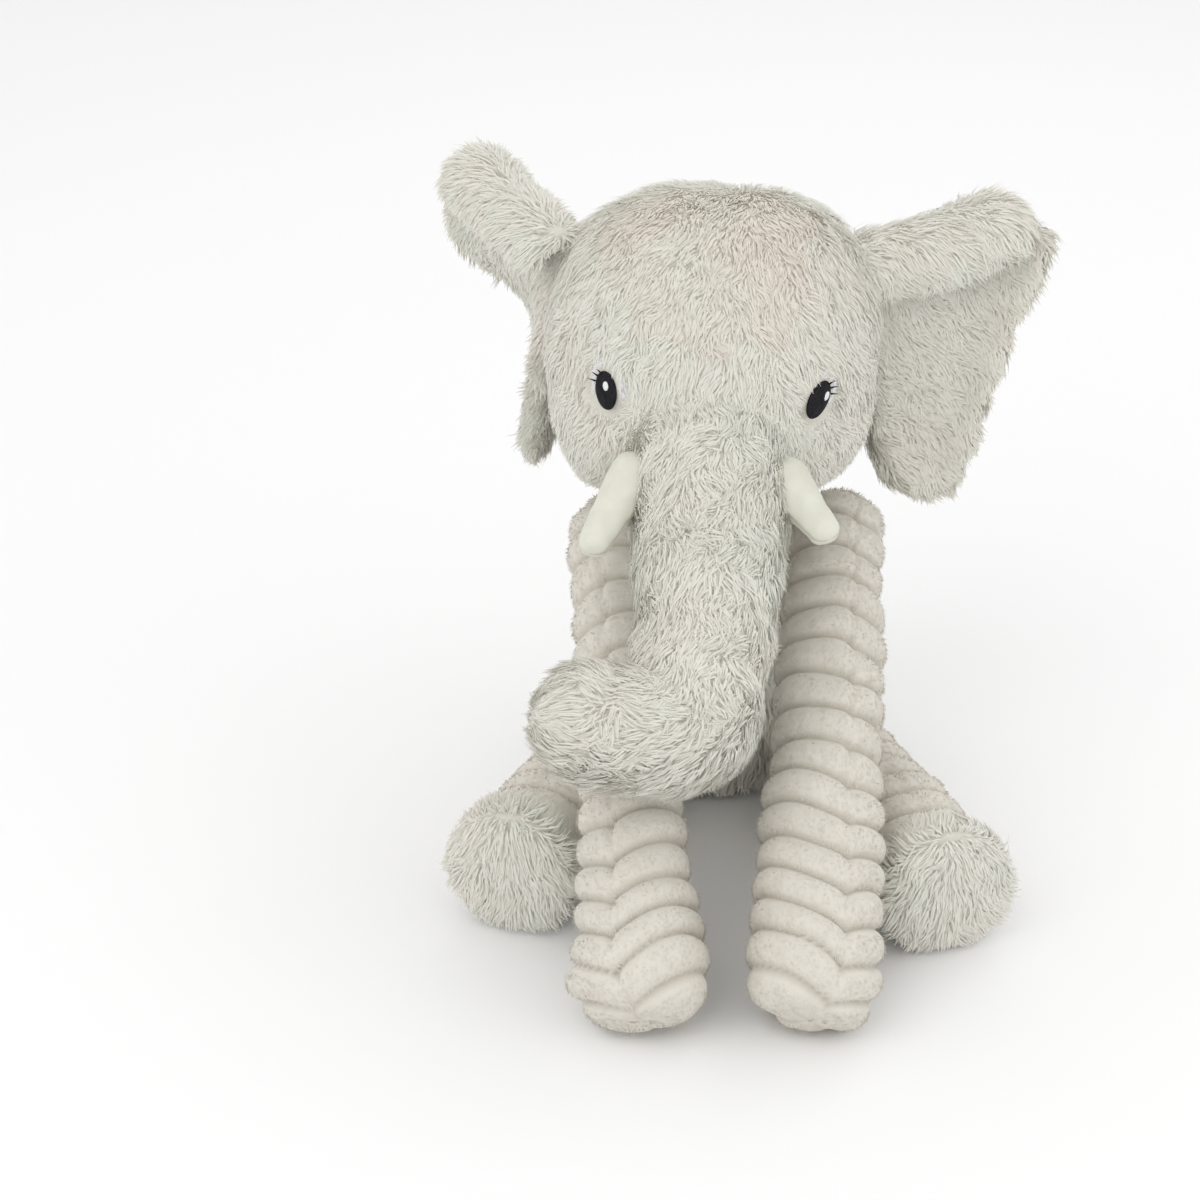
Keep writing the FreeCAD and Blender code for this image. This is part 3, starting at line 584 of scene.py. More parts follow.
class Board:
    """Node tree of one new material, with its Principled shader."""

    def __init__(self, name: str, constants: dict[str, object]) -> None:
        """Makes the material and sets plain values on the shader's own sockets."""
        self.material = bpy.data.materials.new(name)
        self.material.use_nodes = True
        self.tree = self.material.node_tree
        self.shader = self.tree.nodes["Principled BSDF"]
        for key, constant in constants.items():
            self.shader.inputs[key].default_value = constant

    def node(
        self, kind: str, settings: dict | None = None, inputs: dict | None = None, output: int | str = 0
    ) -> Value:
        """Adds one node.

        Args:
            kind: the node's type.
            settings: properties set first; "stops" fills a ramp with (place, colour) pairs.
            inputs: plain values or links for its sockets, by name or number.
            output: which output is returned.

        Returns:
            The chosen output as a value.
        """
        made = self.tree.nodes.new(kind)
        for key, setting in (settings or {}).items():
            if key == "stops":
                for place, colour in setting[2:]:
                    made.color_ramp.elements.new(place)
                for stop, (place, colour) in zip(made.color_ramp.elements, sorted(setting)):
                    stop.position = place
                    stop.color = (*colour, 1.0)
            else:
                setattr(made, key, setting)
        for key, given in (inputs or {}).items():
            if isinstance(given, Value):
                self.tree.links.new(given.socket, made.inputs[key])
            else:
                made.inputs[key].default_value = given
        return Value(self, made.outputs[output])

    def math(self, operation: str, first: "Value | float", second: "Value | float") -> Value:
        """One Math node on two values."""
        return self.node("ShaderNodeMath", {"operation": operation}, {0: first, 1: second})

    def mix(
        self, share: "Value | float", first: "Value | Colour", second: "Value | Colour", blend: str = "MIX"
    ) -> Value:
        """Colour between two colours.

        Args:
            share: 0 for the first colour, 1 for the second.
            first: a colour or a link.
            second: a colour or a link.
            blend: the Mix node's blend type.

        Returns:
            The mixed colour.
        """
        pair = {6: first, 7: second}
        ready = {key: one if isinstance(one, Value) else (*one, 1.0) for key, one in pair.items()}
        return self.node("ShaderNodeMix", {"data_type": "RGBA", "blend_type": blend}, {0: share, **ready}, 2)

    def place(self) -> Value:
        """Object coordinates."""
        return self.node("ShaderNodeTexCoord", output="Object")

    def noise(
        self, size: float, detail: float = 3.0, rough: float = 0.55, where: "Value | None" = None
    ) -> Value:
        """Noise whose swells are about size metres apart."""
        return self.node(
            "ShaderNodeTexNoise",
            None,
            {"Vector": where or self.place(), "Scale": 1.0 / size, "Detail": detail, "Roughness": rough},
        )

    def number(self, name: str) -> Value:
        """A number kept on the mesh under a name."""
        return self.node("ShaderNodeAttribute", {"attribute_name": name}, output="Fac")

    def bump(self, height: Value, strength: float, depth: float) -> None:
        """Bump that feeds the shader's normal."""
        inputs = {"Strength": strength, "Distance": depth, "Height": height}
        bump = self.node("ShaderNodeBump", None, inputs)
        self.tree.links.new(bump.socket, self.shader.inputs["Normal"])

    def finish(self, colour: Value) -> bpy.types.Material:
        """Links the colour and hands the material over."""
        self.tree.links.new(colour.socket, self.shader.inputs["Base Color"])
        return self.material


def board_for_cloth(name: str, sheen: float, roughness: float = 0.95) -> Board:
    """Board with the constants that every soft cloth shares: matt, with a soft sheen."""
    constants = {
        "Roughness": roughness,
        "Sheen Weight": sheen,
        "Sheen Roughness": 0.45,
        "Sheen Tint": (0.95, 0.94, 0.9, 1.0),
        "Specular IOR Level": 0.15,
    }
    return Board(name, constants)


@dataclass(frozen=True)
class FurFinish:
    """Fur that is darker at its roots and in some darker tufts, both painted shade deep in the pile and in
    the partings between tufts, with broad warm and cool patches of tint.
    """

    name: str
    tip: Colour = (0.76, 0.748, 0.684)
    # Painted shade: the root colour darkens the pile towards the cloth, and the colour after it darkens the
    # partings between some tufts.
    root: Colour = (0.676, 0.655, 0.587)
    parting_shade: Colour = (0.583, 0.537, 0.461)
    warm: Colour = (0.76, 0.706, 0.646)
    cool: Colour = (0.714, 0.739, 0.663)
    warmth: float = 0.45
    sheen: float = 0.22

    def make(self) -> bpy.types.Material:
        """Builds the material from the strands' height and tone, painting shade towards the roots and in the
        partings.
        """
        board = board_for_cloth(self.name, self.sheen)
        height, tone = board.number("height"), board.number("tone")
        patch = board.noise(0.034, 2.0)
        tint = board.mix(((patch - 0.5) * 3.2 + 0.5).clamp(), self.cool, self.warm)
        tip = board.mix(self.warmth, self.tip, tint)
        # painted shade: from tip to root the colour darkens towards the root colour
        body = board.mix((height * 1.25 + 0.12).clamp() ** 0.8, self.root, tip)
        # painted shade of the partings: tufts of high tone darken, most near their roots
        parting_shade_mask = ((tone - 0.74) * 4.0).clamp() * (1.0 - height * 0.75)
        colour = board.mix(parting_shade_mask * 0.65, body, self.parting_shade)
        return board.finish(colour)


@dataclass(frozen=True)
class BackingFinish:
    """Knitted backing under the fur, seen only between tufts; both its tones are darker than the fur's tips,
    painted shade down in the pile.
    """

    name: str
    # both tones are painted shade between the tufts; the mottle between them is random
    pale: Colour = (0.714, 0.697, 0.631)
    dark: Colour = (0.614, 0.589, 0.519)

    def make(self) -> bpy.types.Material:
        """Builds the material: mottled, with a fine stubble bump."""
        board = board_for_cloth(self.name, 0.15)
        fine = board.noise(0.0022, 4.0)
        colour = board.mix(((fine - 0.3) * 2.2).clamp(), self.dark, self.pale)
        board.bump(fine, 0.6, 0.0006)
        return board.finish(colour)


@dataclass(frozen=True)
class RibFinish:
    """Wide-ribbed velvety plush: painted shade darkens the grooves, and the pile is mottled."""

    name: str
    crest: Colour = (0.715, 0.682, 0.617)
    # painted shade in the grooves between ribs and along the seam
    groove: Colour = (0.46, 0.42, 0.35)
    mottle: Colour = (0.638, 0.596, 0.527)
    sheen: float = 0.25

    def make(self) -> bpy.types.Material:
        """Builds the material from the surface's rib height, with painted shade where the rib is low."""
        board = board_for_cloth(self.name, self.sheen)
        rib = board.number("rib")
        pile = board.noise(0.0042, 4.0, 0.6)
        patch = board.noise(0.02, 2.0)
        # painted shade: low rib height takes the groove colour
        body = board.mix((rib * 1.5 + 0.02).clamp(), self.groove, self.crest)
        mottled = ((pile - 0.5) * 2.6 + (patch - 0.5) * 1.4 + 0.25).clamp() * 0.55
        colour = board.mix(mottled, body, self.mottle)
        board.bump(board.noise(0.0011, 3.0, 0.65), 0.45, 0.0005)
        return board.finish(colour)


@dataclass(frozen=True)
class VelourFinish:
    """Smooth short velour with a barely uneven nap."""

    name: str
    pale: Colour = (0.74, 0.74, 0.658)
    dark: Colour = (0.688, 0.684, 0.593)

    def make(self) -> bpy.types.Material:
        """Builds the material: soft shading patches and a very fine pile bump."""
        board = board_for_cloth(self.name, 0.35)
        patch = board.noise(0.008, 3.0)
        seam = board.number("seam")
        body = board.mix(((patch - 0.4) * 2.4).clamp(), self.dark, self.pale)
        colour = board.mix(seam * 0.7, body, (0.52, 0.5, 0.41))
        board.bump(board.noise(0.0007, 2.0), 0.35, 0.0003)
        return board.finish(colour)


@dataclass(frozen=True)
class ThreadFinish:
    """Glossy embroidery thread laid in parallel stitches."""

    name: str
    bright: Colour
    deep: Colour
    # the deeper colour is painted shade in the dips between stitches
    roughness: float = 0.55

    def make(self) -> bpy.types.Material:
        """Builds the material: painted shade darkens the dips between stitches, so each thread is lighter on
        its crown, with a little random grain.
        """
        board = Board(self.name, {"Roughness": self.roughness, "Specular IOR Level": 0.12})
        thread = board.number("thread")
        grain = board.noise(0.0009, 2.0)
        # painted shade: low thread height, between stitches, takes the deeper colour
        colour = board.mix((thread * 0.7 + grain * 0.3).clamp(), self.deep, self.bright)
        board.bump(grain, 0.3, 0.0002)
        return board.finish(colour)


@dataclass(frozen=True)
class FloorFinish:
    """Plain pale floor and backdrop."""

    name: str = "pale_floor"
    pale: Colour = (0.93, 0.93, 0.93)

    def make(self) -> bpy.types.Material:
        """Builds the material with a trace of unevenness."""
        board = Board(self.name, {"Roughness": 0.85})
        return board.finish(board.mix(board.noise(0.4, 1.0) * 0.03, self.pale, (0.88, 0.88, 0.88)))


class Wardrobe:
    """All finishes of the toy, made once and handed to the pieces by their slot."""

    def __init__(self) -> None:
        """Makes every material."""
        self.fur = FurFinish("long_fur").make()
        self.crest_fur = FurFinish(
            "crest_fur",
            tip=(0.75, 0.71, 0.64),
            root=(0.63, 0.575, 0.495),
            parting_shade=(0.45, 0.375, 0.30),
            warmth=0.4,
        ).make()
        # darker copy of the long fur: painted shade on the ear lining in the hollow under the folded roll
        self.shade_fur = FurFinish(
            "ear_lining_shaded_fur",
            tip=(0.744, 0.722, 0.654),
            root=(0.62, 0.591, 0.518),
            parting_shade=(0.544, 0.493, 0.416),
        ).make()
        self.halo_fur = FurFinish(
            "halo_fur",
            tip=(0.791, 0.791, 0.804),
            root=(0.688, 0.679, 0.688),
            parting_shade=(0.731, 0.722, 0.74),
            warmth=0.05,
        ).make()
        self.backing = BackingFinish("fur_backing").make()
        self.ribbed = RibFinish("ribbed_plush").make()
        self.rib_pile = FurFinish(
            "ribbed_pile",
            tip=(0.714, 0.68, 0.617),
            root=(0.521, 0.483, 0.412),
            parting_shade=(0.571, 0.525, 0.454),
            warm=(0.722, 0.668, 0.609),
            cool=(0.697, 0.68, 0.613),
        ).make()
        self.velour = VelourFinish("tusk_velour").make()
        self.black = ThreadFinish("black_thread", (0.022, 0.022, 0.026), (0.004, 0.004, 0.005)).make()
        self.white = ThreadFinish("white_thread", (0.9, 0.9, 0.9), (0.7, 0.7, 0.7)).make()


# ---------------------------------------------------------------- head


@dataclass
class Head:
    """Round furry head: cloth skin, face fur, crest, back fur and two embroidered eyes."""

    wardrobe: Wardrobe
    inset: float = 3.2 * MM
    squareness: float = 2.75
    fur: Pile = Pile(9.0 * MM, 0.68 * MM, 1.25e6, stand=0.27, tuft=4.0 * MM, gather=0.5, seed=101)
    eye_clear: float = 7.9 * MM
    eye_proud: float = 2.2 * MM
    eye_lift: Array = field(default_factory=lambda: np.array([0.6, 0.0, 2.2]) * MM)
    centre: Array = field(init=False)
    radii: Array = field(init=False)
    skin: Skin = field(init=False)

    def __post_init__(self) -> None:
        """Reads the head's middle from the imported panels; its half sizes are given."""
        low, high = node_box("head_side_right", "head_side_left", "head_gusset")
        self.radii = np.array([62.0, 58.0, 56.0]) * MM
        top = high[2] - self.radii[2]
        self.centre = np.array([(low[0] + high[0]) / 2, high[1] - self.radii[1], top])
        half = self.radii - np.array([self.inset + 1.2 * MM, self.inset, self.inset - 1.6 * MM])
        skin = ball_skin(self.centre + np.array([1.4 * MM, 0, 0]), half, 96, 144, self.squareness)
        away = unit(skin.points - self.centre)
        cheeks = sum(
            size * np.exp(-((away - unit(np.array([side * 0.7, -0.5, -0.5]))) ** 2).sum(-1) / 0.14)
            for side, size in ((-1, 4.2 * MM), (1, 2.4 * MM))
        )
        self.skin = skin.swell(cheeks + 0.9 * MM * wander(skin.points, 0.045, 31))

    def eye_spot(self, side: Side) -> Array:
        """Place of a pupil: on the cloth where the line from the head's middle to it comes out."""
        low, high = node_box(f"eye_pupil_{side.value}")
        way = unit((low + high) / 2 + self.eye_lift - self.centre)
        reach = np.linalg.norm(self.skin.points - self.centre, axis=-1)
        near = ((self.skin.points - self.centre) @ way / reach).argmax()
        return self.centre + way * (reach.ravel()[near] + self.eye_proud)

    def comb(self, roots: Roots) -> Array:
        """Fur falls from the crown and fans out to the sides; on the back it lies down and back."""
        offset = (roots.at - self.centre) / self.radii
        fan = np.stack([1.0 * offset[:, 0], 0.25 * offset[:, 1] + 0.1, -1.0 + 0 * offset[:, 2]], -1)
        over = ramp(0.4, 0.7, offset[:, 2])[:, None]
        turn_back = 1.1 * ramp(-0.1, 0.5, offset[:, 1])
        crown = np.stack([0.9 * offset[:, 0] - 0.2, turn_back - 0.55, -0.4 + 0 * turn_back], -1)
        return fan * (1 - over) + crown * over

    def crest_share(self, roots: Roots) -> Array:
        """1 on the crest, the panel of coarser warm fur on the upper forehead, 0 elsewhere."""
        offset = (roots.at - self.centre) / self.radii
        wave = 0.1 * wander(roots.at, 0.02, 77)
        across = np.abs(offset[:, 0] + 0.04) + wave
        return (across < 0.5) & (offset[:, 2] + wave > 0.4) & (offset[:, 1] < 0.1)

    def keep(self, roots: Roots) -> Array:
        """Short fur round the eyes, so that the stitching shows."""
        share = np.ones(len(roots.at))
        for side in Side:
            gap = np.linalg.norm(roots.at - self.eye_spot(side), axis=-1)
            share *= ramp(self.eye_clear * 0.85, self.eye_clear * 1.7, gap)
        return share

    def build(self) -> None:
        """Builds the cloth and the fur in pieces that stay light enough to keep every strand."""
        cloth = self.skin.build("head_cover")
        dress(
            cloth,
            self.wardrobe.backing,
            "head",
            ("head_gusset", "head_side_right", "head_side_left", "head_filling"),
        )

        def face(roots: Roots) -> Array:
            """Length on the front half outside the crest."""
            return self.keep(roots) * (roots.at[:, 1] <= self.centre[1]) * ~self.crest_share(roots)

        def back(roots: Roots) -> Array:
            """Length on the back half."""
            return 1.0 * (roots.at[:, 1] > self.centre[1]) * ~self.crest_share(roots)

        def crest(roots: Roots) -> Array:
            """Length on the crest."""
            return 0.8 * self.crest_share(roots)

        for name, share, material, seed, density in (
            ("head_face_fur", face, self.wardrobe.fur, 101, 1.0),
            ("head_back_fur", back, self.wardrobe.fur, 102, 0.55),
            ("head_crest_fur", crest, self.wardrobe.crest_fur, 103, 1.1),
        ):
            pile = replace(self.fur, seed=seed, per_area=density * self.fur.per_area)
            Coat(name, self.skin, self.comb, material, pile, "head", share).grow()


@dataclass
class Eye:
    """Embroidered eye: short pale halo, satin-stitched pupil, highlight and lashes."""

    wardrobe: Wardrobe
    head: Head
    side: Side
    tilt: float
    half_wide: float = 4.4 * MM
    half_tall: float = 7.2 * MM
    proud: float = 2.0 * MM
    centre: Array = field(init=False)
    axes: Array = field(init=False)

    def __post_init__(self) -> None:
        """Sets the eye's own axes on the face: across, up and out, turned by the tilt."""
        self.centre = self.head.eye_spot(self.side)
        out = unit((self.centre - self.head.centre) / self.head.radii**2)
        across = unit(np.cross(UP, out))
        rise = np.cross(out, across)
        turn = math.radians(self.tilt)
        self.axes = np.stack(
            [
                across * math.cos(turn) + rise * math.sin(turn),
                rise * math.cos(turn) - across * math.sin(turn),
                out,
            ]
        )

    def lens(
        self, middle: tuple[float, float, float], half: tuple[float, float, float], stitch: float
    ) -> tuple[Skin, Array]:
        """Flat dome with parallel stitches: ridges |sin| across its length on an ellipsoid.

        Args:
            middle: place on the eye's own axes, in metres.
            half: half sizes across, up and out.
            stitch: thread spacing, or 0 for a plain dome.

        Returns:
            The surface and the thread height at every grid point.
        """
        form = ball_skin(np.zeros(3), np.array(half), 48, 96)
        ridge = np.ones(form.points.shape[:2])
        if stitch:
            ridge = np.abs(np.sin(math.pi * (form.points[..., 1] + 0.25 * form.points[..., 0]) / stitch))
        raised = form.swell(0.00016 * (ridge - 1.0) * ramp(-0.2, 0.5, form.points[..., 2] / half[2]))
        return Skin(self.centre + (raised.points + np.array(middle)) @ self.axes), ridge

    def build(self) -> None:
        """Builds halo, pupil, highlight and lashes."""
        name = self.side.value
        halo, _ = self.lens((0.0, 1.8 * MM, -2.6 * MM), (6.9 * MM, 9.0 * MM, 2.4 * MM), 0.0)
        patch = halo.build(f"eye_patch_{name}_cloth")
        dress(patch, self.wardrobe.backing, "head", (f"eye_patch_{name}",))
        short = Pile(3.2 * MM, 0.6 * MM, 3.0e6, stand=0.4, tuft=2.2 * MM, seed=140 + self.side.sign)

        def clear(roots: Roots) -> Array:
            """Bare where the pupil is stitched and on the hidden underside."""
            local = (roots.at - self.centre) @ self.axes.T
            inside = np.hypot(local[:, 0] / self.half_wide, local[:, 1] / self.half_tall)
            return ramp(0.86, 1.2, inside) * (local[:, 2] > -2.6 * MM)

        def outward(roots: Roots) -> Array:
            """The halo's pile lies away from the pupil and down."""
            return unit(roots.at - self.centre) - 0.8 * UP

        fuzz = short.grow(f"eye_patch_{name}_pile", halo, outward, clear)
        dress(fuzz, self.wardrobe.halo_fur, "head")

        pupil, ridge = self.lens((0.0, 0.0, 0.0), (self.half_wide, self.half_tall, self.proud), 0.42 * MM)
        pupil_piece = pupil.build(f"eye_pupil_{name}_stitching", {"thread": ridge})
        dress(pupil_piece, self.wardrobe.black, "head", (f"eye_pupil_{name}",))
        glint, ridge = self.lens((1.2 * MM, 2.3 * MM, 1.6 * MM), (1.1 * MM, 1.75 * MM, 0.7 * MM), 0.35 * MM)
        glint_piece = glint.build(f"eye_highlight_{name}_stitching", {"thread": ridge})
        dress(glint_piece, self.wardrobe.white, "head", (f"eye_highlight_{name}",))
        self.build_lashes(name)

    def build_lashes(self, name: str) -> None:
        """Lashes: tapered threads that curve out from the upper rim, joined into one piece."""
        grids = []
        for lean in (12.0, 36.0, 60.0):
            angle = math.radians(lean) * self.side.sign
            rim = np.array([math.sin(angle) * self.half_wide, math.cos(angle) * self.half_tall, 1.0 * MM])
            way = unit(np.array([math.sin(angle) * 1.1, math.cos(angle), 0.25]))
            share = np.linspace(0, 1, 12)[:, None]
            bend = np.array([0.9 * MM * self.side.sign, 0.0, 0.5 * MM])
            line = self.centre + (rim * 0.9 + way * 2.0 * MM * share + bend * share**2) @ self.axes
            thin = 0.42 * MM * (1.0 - share[:, 0]) ** 0.7
            thin[0] = 0.0
            grids.append(tube_skin(line, thin, 8, self.axes[2]).points)
        rows, columns = grids[0].shape[:2]
        points = np.concatenate([grid.reshape(-1, 3) for grid in grids])
        row, column = np.meshgrid(np.arange(rows - 1), np.arange(columns), indexing="ij")
        a = (row * columns + column).ravel()
        b = (row * columns + (column + 1) % columns).ravel()
        one = np.stack([a, b, b + columns, a + columns], -1)
        faces = np.concatenate([one + number * rows * columns for number in range(len(grids))])
        values = {"thread": np.full(len(points), 0.4)}
        piece = make_mesh(f"eye_lashes_{name}_thread", points, faces, values, weld=True)
        dress(piece, self.wardrobe.black, "head", (f"eye_lashes_{name}",))


@dataclass
class Tusk:
    """Stuffed tusk of smooth velour: a flattened taper with a seam along each edge."""

    wardrobe: Wardrobe
    side: Side
    root_radius: float = 8.4 * MM
    tip_radius: float = 5.6 * MM
    root_back: float = 5.5 * MM
    root: Array = field(init=False)
    tip: Array = field(init=False)

    def __post_init__(self) -> None:
        """Runs the tusk from the upper inner end of its packed box to the lower outer end."""
        low, high = node_box(f"tusk_cover_{self.side.value}")
        outer = high[0] if self.side is Side.LEFT else low[0]
        inner = low[0] if self.side is Side.LEFT else high[0]
        root_x = inner + self.side.sign * 0.2 * self.root_radius
        tip_x = outer - self.side.sign * 0.85 * self.tip_radius
        self.root = np.array([root_x, high[1] - self.root_back, high[2] - 0.85 * self.root_radius])
        self.tip = np.array([tip_x, low[1] + 0.85 * self.tip_radius, low[2] + 0.85 * self.tip_radius])

    def build(self) -> None:
        """Builds the tusk; its line bows gently and its seams are shallow creases."""
        run = self.tip - self.root
        length = float(np.linalg.norm(run))
        distance, radius = limb_stations(length, self.root_radius, self.tip_radius, 0.5 * MM)
        share = (distance / length)[:, None]
        bow = np.array([self.side.sign * 0.5, -0.3, -0.8]) * 2.0 * MM
        line = self.root + run * share + bow * np.sin(math.pi * np.clip(share, 0, 1)) ** 2
        skin = tube_skin(line, radius, 64, np.array([0.0, -0.6, 1.0]))
        turn = np.linspace(0, math.tau, 64, endpoint=False)[None, :]
        seam = np.exp(-((np.abs(np.sin(turn)) - 1.0) ** 2) / 0.00012) * np.ones((len(distance), 1))
        flat = -0.9 * MM * np.cos(turn) ** 2 * (radius[:, None] / self.root_radius)
        skin = skin.swell(flat - 0.45 * MM * seam + 0.25 * MM * wander(skin.points, 0.009, 61))
        piece = skin.build(f"tusk_{self.side.value}", {"seam": seam})
        name = self.side.value
        dress(
            piece,
            self.wardrobe.velour,
            "head",
            (f"tusk_cover_{name}", f"tusk_filling_{name}"),
        )


# ---------------------------------------------------------------- trunk


@dataclass
class Trunk:
    """Furry trunk from its wide root in the face round the bend to the curled tip."""

    wardrobe: Wardrobe
    inset: float = 3.2 * MM
    fur: Pile = Pile(
        9.8 * MM, 0.72 * MM, 1.3e6, stand=0.5, tuft=5.0 * MM, gather=0.62, stray=0.32, swirl=0.8
    )
    columns: int = 96
    reach: float = 12.0 * MM

    def line(self) -> tuple[Array, Array]:
        """Centre line through the two joints and round the bend, and the radius along it."""
        lift, sway = joint_place("trunk_lift"), joint_place("trunk_sway")
        low, high = node_box("trunk_lower_cover")
        tip = np.array([low[0] + 21.0 * MM, low[1] + 20.0 * MM, low[2] + 23.5 * MM])
        bend = np.array([sway[0] - 6.0 * MM, tip[1] + 6.0 * MM, low[2] + 21.5 * MM])
        inner = lift + np.array([0.0, 32.0, 23.0]) * MM
        past = bend * 0.62 + tip * 0.38 + np.array([0.0, -1.0, -2.0]) * MM
        knots = np.array([inner, lift, (lift + sway) / 2, sway, (sway + bend) / 2, bend, past, tip])
        widths = np.array([33.0, 27.5, 26.0, 24.0, 22.8, 22.8, 22.2, 21.5]) * MM
        smooth = smooth_line(np.column_stack([knots, widths]), 150)
        centres, radii = smooth[:, :3], smooth[:, 3] - self.inset
        quarter = np.linspace(0, math.pi / 2, 22)[1:]
        ahead = unit(centres[-1] - centres[-3])
        cap = centres[-1] + ahead * (radii[-1] * np.sin(quarter))[:, None] * 0.9
        cap_radii = radii[-1] * np.cos(quarter) ** 0.85
        return np.vstack([centres, cap]), np.concatenate([radii, cap_radii])

    def build(self) -> None:
        """Builds an upper piece, from face to middle, and a lower piece, from middle to tip."""
        centres, radii = self.line()
        lift, sway = joint_place("trunk_lift"), joint_place("trunk_sway")
        halfway = (lift + sway) / 2
        split = int(np.argmin(np.linalg.norm(centres - halfway, axis=-1)))
        level = np.array([0.0, -0.62, 0.78])
        ahead = unit(sway - lift)
        drop = unit(centres[min(split + 45, len(centres) - 1)] - sway)
        parts = (
            ("trunk_upper", slice(0, split + 1), ("head", "trunk_middle"), lift, ahead, 201),
            ("trunk_lower", slice(split - 3, None), ("trunk_middle", "trunk_lower"), sway, drop, 202),
        )
        nodes = {
            "trunk_upper": ("trunk_collar", "trunk_middle_cover", "trunk_middle_filling"),
            "trunk_lower": ("trunk_lower_cover", "trunk_lower_filling"),
        }
        for name, rows, bodies, joint, way, seed in parts:
            ring = radii[rows].copy()
            skin = tube_skin(centres[rows], ring, self.columns, level)
            skin = skin.swell(0.8 * MM * wander(skin.points, 0.03, 41))
            shut = skin.points.copy()
            shut[0] = shut[0].mean(0)
            shut[-1] = shut[-1].mean(0)
            cloth = Skin(shut).build(f"{name}_cloth")
            dress(cloth, self.wardrobe.backing, None, nodes[name])
            pile = replace(self.fur, seed=seed)
            coat = Coat(f"{name}_fur", skin, lengthwise, self.wardrobe.fur, pile).grow()
            for piece in (cloth, *coat):
                joint - way * self.reach
                joint + way * self.reach
                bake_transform(piece)


# ---------------------------------------------------------------- ears


